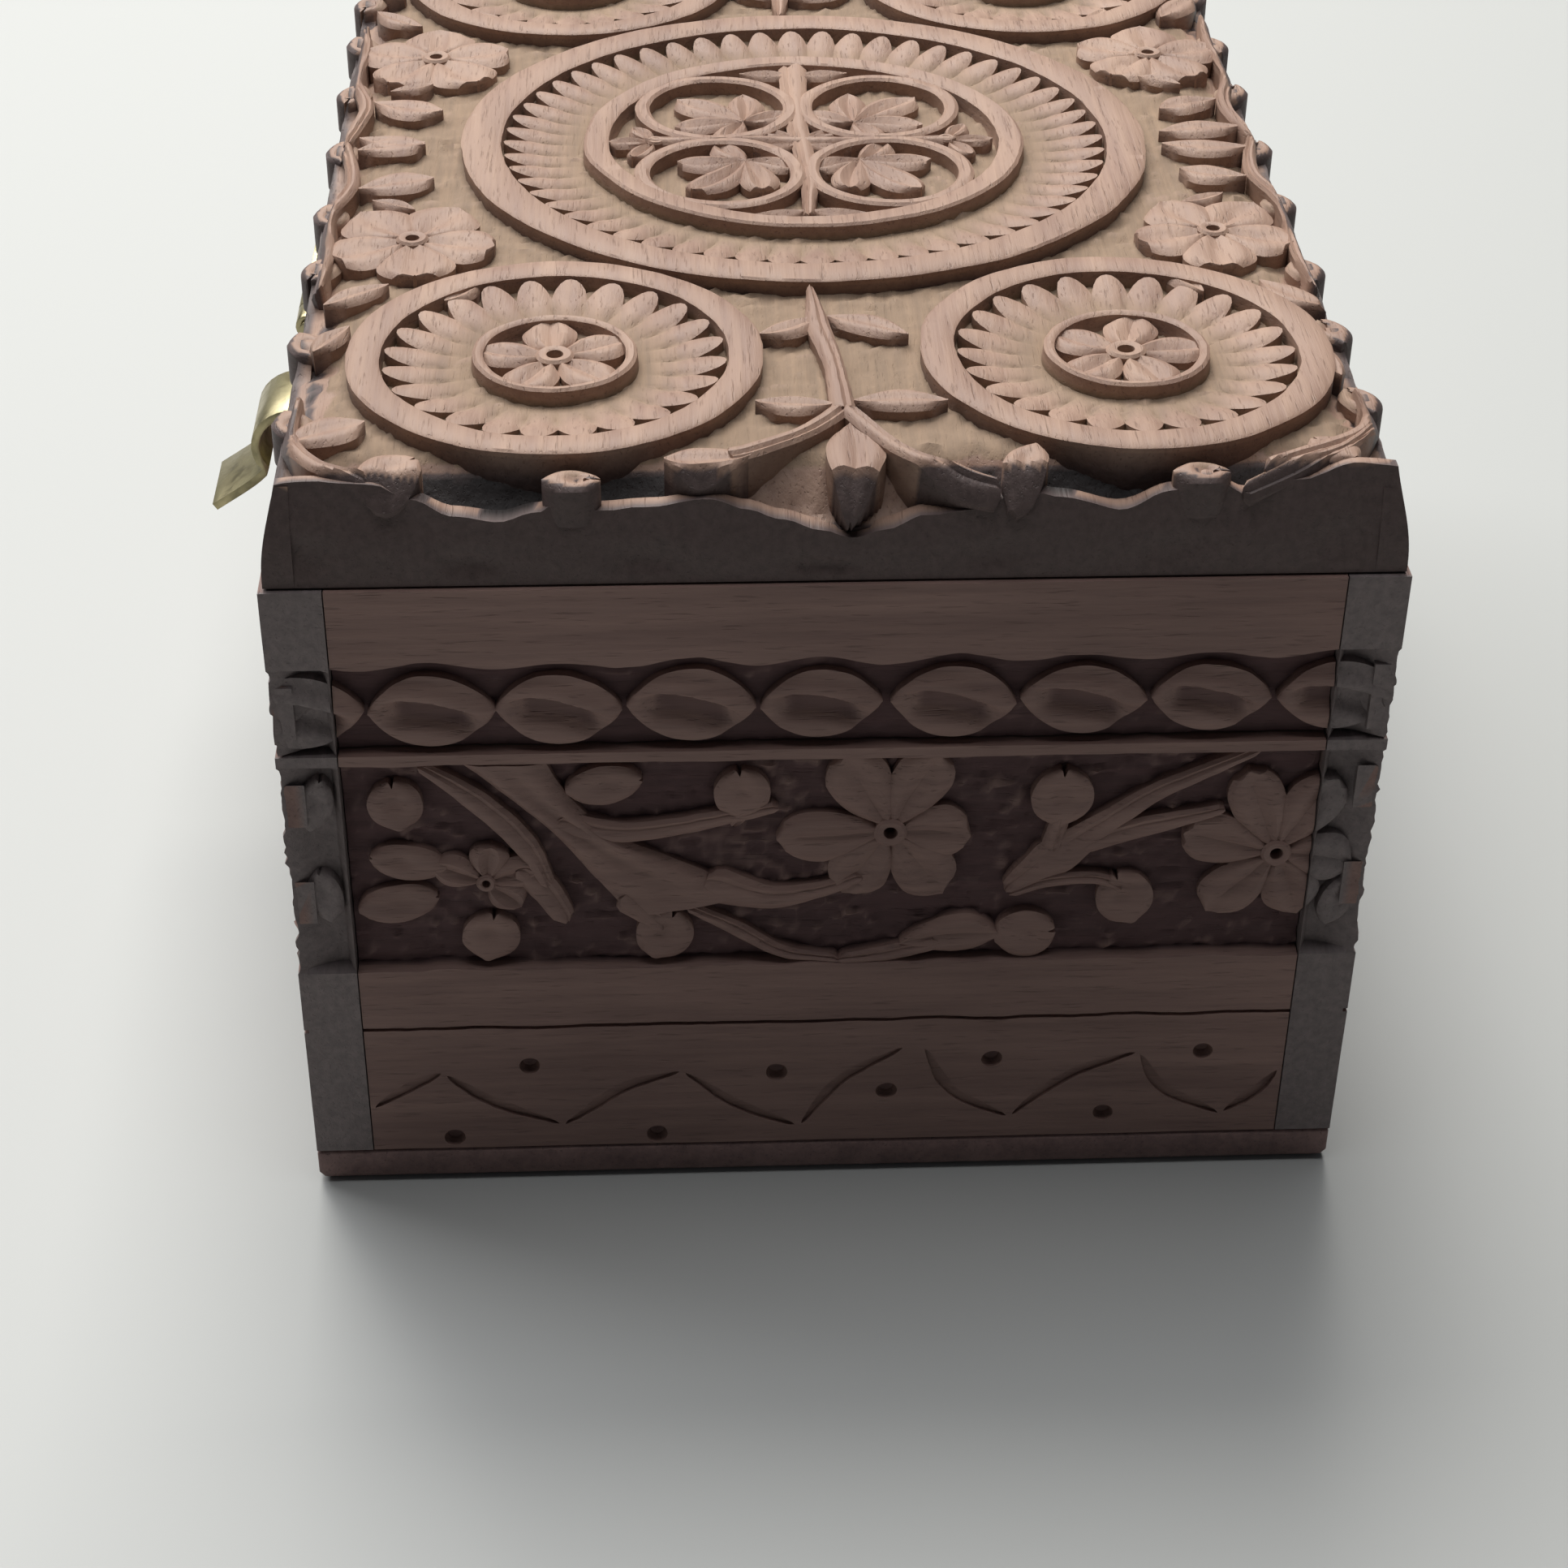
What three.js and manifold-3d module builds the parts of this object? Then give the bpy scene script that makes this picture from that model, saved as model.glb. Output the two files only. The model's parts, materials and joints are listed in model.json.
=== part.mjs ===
// A hinged jewelry box in carved hardwood: five boards make the tray and five make the lid.
// Two brass butt hinges join them along the back, and a brass hasp closes the front.
//
// Millimetres, +Z up. The origin is at the middle of the underside of the base board.
// +X runs along the length. The front, with the hasp, faces -Y, and the hinges are on the +Y side.
import * as THREE from "three";
import { mergeVertices } from "three/addons/utils/BufferGeometryUtils.js";
import Module from "manifold-3d";

const wasm = await Module();
wasm.setup();

// ---- driving dimensions ----
const LENGTH = 182;
const DEPTH = 127;
const HEIGHT = 100;
const WALL = 7; // thickness of every upright board
const SEAM_Z = 64.7; // top edge of the tray's walls
const SEAM_GAP = 0.3; // between the closed lid and the tray
const GLUE = 0.3; // the line between two boards
const BASE_BOARD = 5;
const BASE_EDGE = 1.6; // rounding under the base board
const LID_BOARD_Z = 86.8; // underside of the lid's top board
const LID_BOARD_INSET = 0.6; // how far the top board stands in from the rails
const LID_BOARD_FOOT = 1.5; // height of its upright edge
const LID_SLOPE = 2.4; // how far its sloping edge leans in
const LID_SHOULDER = 1.2; // the rounding at the top of that slope

const VELVET = 1.2; // thickness of the panels on the walls and in the lid
const VELVET_FLOOR = 2;
const VELVET_BELOW_RIM = 1.2;

// A fastener's head radius, depth of countersink, shank radius, length and number of sides.
const BRAD = { head: 1.1, sink: 1, shank: 0.6, length: 15, sides: 10 };
const SCREW = { head: 1.5, sink: 0.9, shank: 0.8, length: 8, sides: 12 };
const PLATE_PIN = { head: 1.3, sink: 0.8, shank: 0.7, length: 6, sides: 12 };
const HOLE_PLAY = 0.2; // round a fastener in its hole
const BRAD_PROUD = 0.15;
const TRAY_BRAD_Z = [10.5, 28.5];
const LID_BRAD_Z = [81.5];

const HINGE_X = 56; // from the middle of the box to the middle of each hinge
const HINGE_OUT = 2.4; // from the back face to the hinge axis
const HINGE = { length: 26, thick: 1, reach: 8.2, knuckle: 2.1, bore: 0.95, pin: 0.85, sides: 18 };
const HINGE_SCREW_X = 8; // from the middle of a hinge to its screws
const HINGE_SCREW_IN = 5.2; // from the hinge axis to its screws
const LEAF_GAP = 0.3; // from the hinge axis to each leaf's inner face
const LEAF_PLAY = 0.2; // round a leaf in its mortise
const KNUCKLE_PLAY = 0.3; // between neighbouring knuckles
const PIN_HEAD = { hinge: 1.4, hasp: 1.1, thick: 0.6 };

const HASP = { width: 16, top: 86, thick: 1, knuckle: 1.7, bore: 0.8, pin: 0.7, sides: 16 };
const HASP_AXIS = { out: 2.2, z: 77 }; // out is the distance in front of the box
const TONGUE = 7; // width of the flap's own knuckle
const FLAP = { width: 12, thick: 1.1 };
const CATCH = { width: 14, top: 62.2, bottom: 50.5, thick: 1 };
const NOSE = { width: 6, radius: 2.3, out: 6, z: 57.6, arm: 2 };
const PLATE_PIN_X = 5.2;
const PLATE_GAP = 0.1; // between a plate and the wood behind it

// ---- places worked out from them ----
const HALF_X = LENGTH / 2;
const HALF_Y = DEPTH / 2;
const INNER_X = HALF_X - WALL;
const INNER_Y = HALF_Y - WALL;
const WALL_LOW = BASE_BOARD + GLUE;
const RAIL_LOW = SEAM_Z + SEAM_GAP;
const RAIL_HIGH = LID_BOARD_Z - GLUE;
const AXIS_Y = HALF_Y + HINGE_OUT;
const AXIS_Z = SEAM_Z + SEAM_GAP / 2;
const SIDES = { front: -1, back: 1 };
const ENDS = { left: -1, right: 1 };

const WOOD = { color: 0x8a5a48, roughness: 0.62, metalness: 0 };
const DARK_WOOD = { color: 0x5a3a30, roughness: 0.7, metalness: 0 };
const RED_VELVET = { color: 0x6e1020, roughness: 0.95, metalness: 0 };
const BRASS = { color: 0xa8924c, roughness: 0.38, metalness: 1 };
const STEEL = { color: 0x8c8a86, roughness: 0.45, metalness: 1 };

// ---- solids ----
// A closed geometry as a solid that can be joined and cut.
function solid(geometry) {
  const bare = geometry.clone();
  bare.deleteAttribute("normal");
  bare.deleteAttribute("uv");
  const merged = mergeVertices(bare, 1e-4);
  const triVerts = new Uint32Array(merged.index.array);
  const vertProperties = new Float32Array(merged.attributes.position.array);
  return new wasm.Manifold(new wasm.Mesh({ numProp: 3, vertProperties, triVerts }));
}

function geometryOf(shape) {
  const made = shape.getMesh();
  const geometry = new THREE.BufferGeometry();
  geometry.setAttribute("position", new THREE.BufferAttribute(made.vertProperties, 3));
  geometry.setIndex(new THREE.BufferAttribute(made.triVerts, 1));
  geometry.computeVertexNormals();
  return geometry;
}

// A block between two opposite corners, given in any order.
function block(from, to) {
  const size = to.map((value, i) => Math.abs(value - from[i]));
  const middle = to.map((value, i) => (value + from[i]) / 2);
  return solid(new THREE.BoxGeometry(...size).translate(...middle));
}

// A round bar along X, centred on a point.
function barX(radius, length, sides, [x, y, z] = [0, 0, 0]) {
  const geometry = new THREE.CylinderGeometry(radius, radius, length, sides);
  return solid(geometry.rotateZ(Math.PI / 2).translate(x, y, z));
}

// An outline of [y, z] pairs, counterclockwise seen from +X, drawn out along X to both sides of x = 0.
function extrudeX(outline, width) {
  const shape = new THREE.Shape(outline.map(([y, z]) => new THREE.Vector2(y, z)));
  const geometry = new THREE.ExtrudeGeometry(shape, { depth: width, bevelEnabled: false });
  return solid(geometry.translate(0, 0, -width / 2).rotateX(Math.PI / 2).rotateZ(Math.PI / 2));
}

// A countersunk fastener with its head level with z = 0 and its shank towards -Z.
// With a play it is the hole that the fastener sits in, which stays open above the head.
function fastener({ head, sink, shank, length, sides }, play = 0) {
  const top = play > 0 ? [[head + play, WALL], [0, WALL]] : [[0, 0]];
  const profile = [
    [0, -length - play],
    [shank + play, shank - length],
    [shank + play, -sink],
    [head + play, 0],
    ...top,
  ];
  const points = profile.map(([radius, z]) => new THREE.Vector2(radius, z));
  return solid(new THREE.LatheGeometry(points, sides).rotateX(Math.PI / 2));
}

// The hole for a fastener. A place is its head's position, and its turn about X in quarter turns.
function hole(kind, { position, quarters }) {
  return fastener(kind, HOLE_PLAY).rotate([quarters * 90, 0, 0]).translate(position);
}

function drill(board, kind, places) {
  return places.reduce((left, place) => left.subtract(hole(kind, place)), board);
}

// ---- boards ----
// A board whose edge has the same outline on all four sides: the outline gives [half width, z] pairs upwards.
function edgedBoard(edge) {
  const outline = (half) => {
    const right = edge.map(([inset, z]) => [half - inset, z]);
    return [...right, ...right.map(([y, z]) => [-y, z]).reverse()];
  };
  const across = extrudeX(outline(HALF_Y), LENGTH);
  const along = extrudeX(outline(HALF_X), DEPTH).rotate([0, 0, 90]);
  return across.intersect(along);
}

// The lower edges of the base board are rounded in two flats.
function baseBoard() {
  return edgedBoard([
    [BASE_EDGE, 0],
    [BASE_EDGE * 0.3, BASE_EDGE * 0.3],
    [0, BASE_EDGE],
    [0, BASE_BOARD],
  ]);
}

// The top board slopes in from the rails, and its upper edge is rounded in two flats.
function lidBoard() {
  const slope = LID_BOARD_INSET + LID_SLOPE;
  return edgedBoard([
    [LID_BOARD_INSET, LID_BOARD_Z],
    [LID_BOARD_INSET, LID_BOARD_Z + LID_BOARD_FOOT],
    [slope, HEIGHT - LID_SHOULDER],
    [slope + LID_SHOULDER * 0.4, HEIGHT - LID_SHOULDER * 0.4],
    [slope + LID_SHOULDER, HEIGHT],
  ]);
}

// A front or back board, over the full length.
function longBoard(side, low, high) {
  return block([-HALF_X, side * INNER_Y, low], [HALF_X, side * HALF_Y, high]);
}

// An end board, held between the front and back boards.
function endBoard(end, low, high) {
  const half = INNER_Y - GLUE;
  return block([end * INNER_X, -half, low], [end * HALF_X, half, high]);
}

// The brads at the four corners, driven through the front and back boards into the ends of the end boards.
function bradPlaces(heights) {
  return Object.entries(SIDES).flatMap(([sideName, side]) =>
    Object.entries(ENDS).flatMap(([endName, end]) =>
      heights.map((z, i) => ({
        name: `${sideName}_${endName}_${i + 1}`,
        side,
        end,
        quarters: -side,
        position: [end * (HALF_X - WALL / 2), side * (HALF_Y + BRAD_PROUD), z],
      })),
    ),
  );
}

// ---- hinges, round their own axis ----
// The recess for one leaf. The level is -1 in the tray and +1 in the lid.
function mortise(level) {
  const half = HINGE.length / 2 + LEAF_PLAY;
  const bottom = level * (LEAF_GAP + HINGE.thick + LEAF_PLAY);
  return block([-half, -HINGE.reach - LEAF_PLAY, -level], [half, 1, bottom]);
}

function hingeLeaf(level) {
  const third = HINGE.length / 3;
  const centres = level < 0 ? [-third, third] : [0];
  const half = HINGE.length / 2;
  const near = level * LEAF_GAP;
  const far = level * (LEAF_GAP + HINGE.thick);
  const plateEdge = -HINGE_OUT - LEAF_GAP;
  let leaf = block([-half, -HINGE.reach, near], [half, plateEdge, far]);
  for (const x of centres) {
    const reach = (third - KNUCKLE_PLAY) / 2;
    const neck = block([x - reach, plateEdge - 1, near], [x + reach, 0, far]);
    leaf = leaf.add(neck).add(barX(HINGE.knuckle, 2 * reach, HINGE.sides, [x, 0, 0]));
  }
  leaf = leaf.subtract(barX(HINGE.bore, HINGE.length + 2, HINGE.sides));
  return drill(leaf, SCREW, hingeScrews(level));
}

// A leaf's screws have their heads level with its inner face.
function hingeScrews(level) {
  return Object.entries(ENDS).map(([name, end]) => ({
    name,
    quarters: level < 0 ? 0 : 2,
    position: [end * HINGE_SCREW_X, -HINGE_SCREW_IN, level * LEAF_GAP],
  }));
}

// A pin along X with a small head at each end.
function headedPin(radius, head, length, sides, centre = [0, 0, 0]) {
  const heads = [-1, 1].map((end) => {
    const x = centre[0] + (end * (length + PIN_HEAD.thick)) / 2;
    return barX(head, PIN_HEAD.thick, sides, [x, centre[1], centre[2]]);
  });
  const shank = barX(radius, length + PIN_HEAD.thick, sides, centre);
  return heads.reduce((pin, one) => pin.add(one), shank);
}

function hingePin() {
  return headedPin(HINGE.pin, PIN_HEAD.hinge, HINGE.length + 2 * LEAF_GAP, 12);
}

// The mortises and screw holes of both hinges in a back board.
function hingeCuts(board, level) {
  return Object.values(ENDS).reduce((left, end) => {
    const at = [end * HINGE_X, AXIS_Y, AXIS_Z];
    const holes = hingeScrews(level).map((screw) => hole(SCREW, screw).translate(at));
    return holes.reduce((rest, one) => rest.subtract(one), left.subtract(mortise(level).translate(at)));
  }, board);
}

// ---- hasp and catch ----
const front = (out) => -(HALF_Y + out); // the Y of what stands this far in front of the box
const tongueHalf = TONGUE / 2 + KNUCKLE_PLAY;
const barrelFoot = HASP_AXIS.z - HASP.knuckle - KNUCKLE_PLAY;
const barrelTop = HASP_AXIS.z + HASP.knuckle + KNUCKLE_PLAY;
const haspPinZ = (HASP.top + barrelTop) / 2;
const catchPinZ = (CATCH.top + CATCH.bottom) / 2;

function barrel(radius, length, x = 0) {
  return barX(radius, length, HASP.sides, [x, front(HASP_AXIS.out), HASP_AXIS.z]);
}

function platePins(z, thick) {
  return Object.entries(ENDS).map(([name, end]) => ({
    name,
    quarters: 1,
    position: [end * PLATE_PIN_X, front(PLATE_GAP + thick), z],
  }));
}

const haspPins = platePins(haspPinZ, HASP.thick);
const catchPins = platePins(catchPinZ, CATCH.thick);

// The upper plate, with a knuckle at each side of a notch for the flap.
function haspPlate() {
  const back = front(PLATE_GAP);
  const face = front(PLATE_GAP + HASP.thick);
  const half = HASP.width / 2;
  const ear = half - tongueHalf;
  let plate = block([-half, face, HASP_AXIS.z], [half, back, HASP.top]);
  for (const end of [-1, 1]) plate = plate.add(barrel(HASP.knuckle, ear, end * (tongueHalf + ear / 2)));
  plate = plate.subtract(block([-tongueHalf, face - 1, barrelFoot], [tongueHalf, back + 1, barrelTop]));
  plate = plate.subtract(barrel(HASP.bore, HASP.width + 2));
  return drill(plate, PLATE_PIN, haspPins);
}

// The flap's middle line, from the barrel down, as [out, z]: flat over the seam, then bowed out round
// the catch, drawn in under it, and flared into a lip for the finger.
function flapLine() {
  const line = new THREE.CurvePath();
  const at = ([out, z]) => new THREE.Vector2(out, z);
  const bend = (...points) => line.add(new THREE.CubicBezierCurve(...points.map(at)));
  line.add(new THREE.LineCurve(at([1.15, barrelFoot]), at([1.15, 64.2])));
  bend([1.15, 64.2], [1.2, 62.4], [4.4, 63.6], [7.6, 62.6]);
  bend([7.6, 62.6], [11.6, 61.2], [12.2, 56.6], [9.9, 54.4]);
  bend([9.9, 54.4], [11.2, 52.6], [14.6, 50.6], [17.6, 48.6]);
  return line.getSpacedPoints(34);
}

// A strip of even thickness round a middle line, as a closed outline of [y, z] pairs.
function strip(line, thick) {
  const edge = (sign) =>
    line.map((point, i) => {
      const before = line[Math.max(i - 1, 0)];
      const after = line[Math.min(i + 1, line.length - 1)];
      const along = after.clone().sub(before).normalize();
      const reach = (sign * thick) / 2;
      return [front(point.x + along.y * reach), point.y - along.x * reach];
    });
  return [...edge(1), ...edge(-1).reverse()];
}

function haspFlap() {
  const line = flapLine();
  const half = TONGUE / 2;
  const neckFrom = [-half, front(line[0].x + FLAP.thick / 2), barrelFoot - 1];
  const neckTo = [half, front(line[0].x - FLAP.thick / 2), HASP_AXIS.z];
  const flap = extrudeX(strip(line, FLAP.thick), FLAP.width).add(block(neckFrom, neckTo));
  return flap.add(barrel(HASP.knuckle, TONGUE)).subtract(barrel(HASP.bore, TONGUE + 2));
}

function haspPin() {
  const centre = [0, front(HASP_AXIS.out), HASP_AXIS.z];
  return headedPin(HASP.pin, PIN_HEAD.hasp, HASP.width + 2 * PLATE_GAP, 12, centre);
}

// The plate on the tray, with the round-nosed catch that the flap's bow goes over.
function catchPlate() {
  const face = front(PLATE_GAP + CATCH.thick);
  const half = CATCH.width / 2;
  const plate = block([-half, face, CATCH.bottom], [half, front(PLATE_GAP), CATCH.top]);
  const armFrom = [-NOSE.width / 2, front(NOSE.out), NOSE.z - NOSE.arm / 2];
  const armTo = [NOSE.width / 2, face + CATCH.thick / 2, NOSE.z + NOSE.arm / 2];
  const nose = barX(NOSE.radius, NOSE.width, HASP.sides, [0, front(NOSE.out), NOSE.z]);
  return drill(plate.add(block(armFrom, armTo)).add(nose), PLATE_PIN, catchPins);
}

// ---- velvet panels ----
function velvetPanels() {
  const x = INNER_X - GLUE;
  const y = INNER_Y - GLUE;
  const low = WALL_LOW + VELVET_FLOOR + GLUE;
  const high = SEAM_Z - VELVET_BELOW_RIM;
  const endHalf = y - VELVET - GLUE;
  const panels = { floor_lining: block([-x, -y, WALL_LOW], [x, y, WALL_LOW + VELVET_FLOOR]) };
  for (const [name, side] of Object.entries(SIDES)) {
    panels[`${name}_lining`] = block([-x, side * y, low], [x, side * (y - VELVET), high]);
  }
  for (const [name, end] of Object.entries(ENDS)) {
    panels[`${name}_end_lining`] = block([end * x, -endHalf, low], [end * (x - VELVET), endHalf, high]);
  }
  return panels;
}

function lidLining() {
  const x = INNER_X - GLUE;
  const y = INNER_Y - GLUE;
  return block([-x, -y, RAIL_HIGH - VELVET], [x, y, RAIL_HIGH]);
}

// ---- assembly ----
const tray = new THREE.Group();
const lid = new THREE.Group();
const hasp = new THREE.Group();
const box = new THREE.Group().add(tray, lid.add(hasp));

function put(group, name, shape, finish) {
  const mesh = new THREE.Mesh(geometryOf(shape), new THREE.MeshStandardMaterial(finish));
  mesh.name = name;
  group.add(mesh);
  return mesh;
}

function putFastener(group, name, kind, { position, quarters }, finish) {
  const mesh = put(group, name, fastener(kind), finish);
  mesh.position.set(...position);
  mesh.rotation.x = (quarters * Math.PI) / 2;
}

const trayBrads = bradPlaces(TRAY_BRAD_Z);
const lidBrads = bradPlaces(LID_BRAD_Z);

put(tray, "base_board", baseBoard(), DARK_WOOD);
for (const [name, side] of Object.entries(SIDES)) {
  const onSide = (place) => place.side === side;
  const wall = drill(longBoard(side, WALL_LOW, SEAM_Z), BRAD, trayBrads.filter(onSide));
  const rail = drill(longBoard(side, RAIL_LOW, RAIL_HIGH), BRAD, lidBrads.filter(onSide));
  const isFront = name === "front";
  put(tray, `${name}_wall`, isFront ? drill(wall, PLATE_PIN, catchPins) : hingeCuts(wall, -1), WOOD);
  put(lid, `lid_${name}_rail`, isFront ? drill(rail, PLATE_PIN, haspPins) : hingeCuts(rail, 1), WOOD);
}
for (const [name, end] of Object.entries(ENDS)) {
  const onEnd = (place) => place.end === end;
  const wall = drill(endBoard(end, WALL_LOW, SEAM_Z), BRAD, trayBrads.filter(onEnd));
  const rail = drill(endBoard(end, RAIL_LOW, RAIL_HIGH), BRAD, lidBrads.filter(onEnd));
  put(tray, `${name}_end_wall`, wall, WOOD);
  put(lid, `lid_${name}_end_rail`, rail, WOOD);
}
put(lid, "lid_top_board", lidBoard(), WOOD);
for (const brad of trayBrads) putFastener(tray, `brad_${brad.name}`, BRAD, brad, STEEL);
for (const brad of lidBrads) putFastener(lid, `lid_brad_${brad.name}`, BRAD, brad, STEEL);

for (const [name, shape] of Object.entries(velvetPanels())) put(tray, name, shape, RED_VELVET);
put(lid, "lid_lining", lidLining(), RED_VELVET);

for (const [name, end] of Object.entries(ENDS)) {
  const halves = { tray: { level: -1, body: tray }, lid: { level: 1, body: lid } };
  for (const [half, { level, body }] of Object.entries(halves)) {
    const group = new THREE.Group();
    group.position.set(end * HINGE_X, AXIS_Y, AXIS_Z);
    body.add(group);
    put(group, `hinge_${name}_${half}_leaf`, hingeLeaf(level), BRASS);
    for (const screw of hingeScrews(level)) {
      putFastener(group, `hinge_${name}_${half}_screw_${screw.name}`, SCREW, screw, BRASS);
    }
    if (half === "tray") put(group, `hinge_${name}_pin`, hingePin(), BRASS);
  }
}

put(lid, "hasp_plate", haspPlate(), BRASS);
put(lid, "hasp_pin", haspPin(), BRASS);
put(hasp, "hasp_flap", haspFlap(), BRASS);
put(tray, "catch_plate", catchPlate(), BRASS);
for (const pin of haspPins) putFastener(lid, `hasp_plate_pin_${pin.name}`, PLATE_PIN, pin, BRASS);
for (const pin of catchPins) putFastener(tray, `catch_plate_pin_${pin.name}`, PLATE_PIN, pin, BRASS);

export default box;
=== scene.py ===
"""A carved hardwood jewelry box with brass fittings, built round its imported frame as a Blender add-on."""
import json
import math
import random

import bmesh
import bpy
from bpy.props import FloatProperty, FloatVectorProperty, IntProperty, PointerProperty
from mathutils import Matrix, Vector, noise


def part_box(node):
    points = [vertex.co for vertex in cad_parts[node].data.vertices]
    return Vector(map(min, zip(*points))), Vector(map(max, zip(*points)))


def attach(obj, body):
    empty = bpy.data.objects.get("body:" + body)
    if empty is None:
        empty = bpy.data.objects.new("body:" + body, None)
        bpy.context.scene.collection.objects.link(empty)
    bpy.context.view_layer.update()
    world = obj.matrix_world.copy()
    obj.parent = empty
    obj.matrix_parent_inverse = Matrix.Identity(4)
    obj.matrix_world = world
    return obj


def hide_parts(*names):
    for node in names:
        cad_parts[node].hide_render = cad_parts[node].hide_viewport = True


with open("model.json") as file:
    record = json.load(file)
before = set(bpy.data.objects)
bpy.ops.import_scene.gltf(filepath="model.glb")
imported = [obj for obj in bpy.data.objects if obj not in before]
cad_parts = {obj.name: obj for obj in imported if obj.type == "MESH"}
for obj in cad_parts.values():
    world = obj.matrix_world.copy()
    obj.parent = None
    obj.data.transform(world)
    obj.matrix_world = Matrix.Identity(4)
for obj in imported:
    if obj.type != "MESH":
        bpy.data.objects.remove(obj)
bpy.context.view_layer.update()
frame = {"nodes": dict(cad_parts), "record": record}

bl_info = {
    "name": "Carved Jewelry Box",
    "version": (1, 0, 0),
    "blender": (4, 5, 0),
    "location": "View3D > Sidebar > Jewelry Box",
    "description": "Carves the boards, finishes the fittings and sets the stage of a hinged jewelry box",
    "category": "Object",
}

MM = 0.001  # metres in a millimetre: carving is worked out in millimetres
TURN = 2 * math.pi
SINK = 0.8  # how far a carved motif's foot goes below the ground, so that no gap shows

# Each side of the box, by the quarter turns that bring the right end to it.
QUARTERS = {"right": 0, "back": 1, "left": 2, "front": 3}
LONG_SIDES = ("front", "back")


def box_mm(node):
    """The lowest and highest corner of a node of the frame, in millimetres."""
    low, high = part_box(node)
    return low / MM, high / MM


HALF_LENGTH = box_mm("front_wall")[1].x
TRAY_LOW, TRAY_HIGH = (corner.z for corner in box_mm("front_wall"))
RAIL_LOW, RAIL_HIGH = (corner.z for corner in box_mm("lid_front_rail"))
WALL_INSIDE, HALF_DEPTH = (corner.y for corner in box_mm("back_wall"))
WALL = HALF_DEPTH - WALL_INSIDE
LID_FOOT, LID_TOP = (corner.z for corner in box_mm("lid_top_board"))
LID_HALF_LENGTH, LID_HALF_DEPTH, _ = box_mm("lid_top_board")[1]


# ---------------------------------------------------------------- settings
def a_length(name, description, default):
    return FloatProperty(name=name, description=description, default=default, unit="LENGTH")


def a_number(name, description, default, unit="NONE"):
    return FloatProperty(name=name, description=description, default=default, unit=unit)


def an_angle(name, description, degrees):
    return FloatProperty(name=name, description=description, subtype="ANGLE", default=math.radians(degrees))


def a_colour(name, description, default):
    return FloatVectorProperty(name=name, description=description, subtype="COLOR", default=default)


class CarvingSettings(bpy.types.PropertyGroup):
    """How deep and how evenly the boards are carved"""

    lid_depth: a_length("Lid relief", "Depth of the ground below the lid's top", 0.0024)
    wall_depth: a_length("Wall relief", "Depth of the ground on the tray's walls", 0.0022)
    rail_depth: a_length("Rail relief", "Depth of the ground on the lid's rails", 0.0019)
    tool_marks: a_length("Tool marks", "Depth of the gouge strokes on the ground", 0.0004)
    wobble: a_length("Hand wobble", "How far hand cutting strays from the drawn line", 0.0003)
    step: a_length("Ground step", "Spacing of the points on a carved ground", 0.00075)
    seed: IntProperty(name="Hand", description="A different number gives a different hand", default=7)


class WoodSettings(bpy.types.PropertyGroup):
    """Colours of the wood"""

    light: a_colour("Light grain", "Paler streaks of the heartwood", (0.40, 0.262, 0.192))
    dark: a_colour("Dark grain", "Darker streaks of the heartwood", (0.275, 0.167, 0.124))
    wall_light: a_colour("Wall light grain", "Paler streaks of the stained sides", (0.31, 0.196, 0.165))
    wall_dark: a_colour("Wall dark grain", "Darker streaks of the stained sides", (0.20, 0.12, 0.103))
    # Painted shade: this dark colour goes on the outer face of the lid's rim and the steep faces of its
    # motifs.
    edge_painted_shade: a_colour("Edge stain", "Dark stain on the lid's leaning edge", (0.115, 0.08, 0.074))
    # Partly the end grain of the long boards and partly a painted grey reflection of the room on these ends.
    end_grain_and_reflection: a_colour("End grain", "Dusty ends of the long boards", (0.22, 0.18, 0.175))
    lid_ground: a_colour("Lid ground", "Bare wood between the lid's motifs", (0.31, 0.216, 0.148))
    # Painted shade: the carved ground of the walls and rails is darkened, as shade in the recesses.
    wall_ground_shade: a_colour("Wall ground", "Stained wood in the walls' bands", (0.112, 0.064, 0.064))
    base: a_colour("Base board", "The darker wood under the box", (0.285, 0.18, 0.165))


class TrimSettings(bpy.types.PropertyGroup):
    """Colours of the metal and the velvet"""

    brass: a_colour("Brass", "Bare brass", (0.44, 0.38, 0.22))
    patina: a_colour("Patina", "Tarnish on the brass", (0.2, 0.185, 0.11))
    steel: a_colour("Brads", "Darkened steel", (0.28, 0.26, 0.24))
    velvet: a_colour("Velvet", "Pile of the lining", (0.2, 0.008, 0.02))


class StageSettings(bpy.types.PropertyGroup):
    """The floor, the lights and the camera"""

    floor: a_colour("Floor", "Colour of the plain floor", (0.46, 0.467, 0.453))
    back_light: a_number("Back light", "Power of the large light high behind the box", 27.0)
    side_light: a_number("Side light", "Power of the light on the hasp's side", 9.3)
    top_light: a_number("Top light", "Power of the light overhead", 10.0)
    sky: a_number("Sky", "Strength of the even light from all round", 0.05)
    lens: a_number("Lens", "Focal length on a 36 mm sensor", 69.2, unit="CAMERA")
    place: FloatVectorProperty(
        name="Camera place", description="Where the camera stands", subtype="XYZ", unit="LENGTH",
        default=(0.3727, -0.0197, 0.2595),
    )
    heading: an_angle("Heading", "Turn from looking straight along the box", -2.82)
    dip: an_angle("Dip", "How far the camera looks down", 35.28)
    roll: an_angle("Roll", "Tilt of the camera about its view", 0.6)


# ---------------------------------------------------------------- small tools
def mix(a, b, share):
    return a + (b - a) * share


def ease(value, low, high):
    """0 below low, 1 above high, and a smooth change between them."""
    share = min(1.0, max(0.0, (value - low) / (high - low)))
    return share * share * (3 - 2 * share)


def spaced(low, high, count):
    """count + 1 evenly spaced numbers from low to high."""
    return [mix(low, high, i / count) for i in range(count + 1)]


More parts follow.
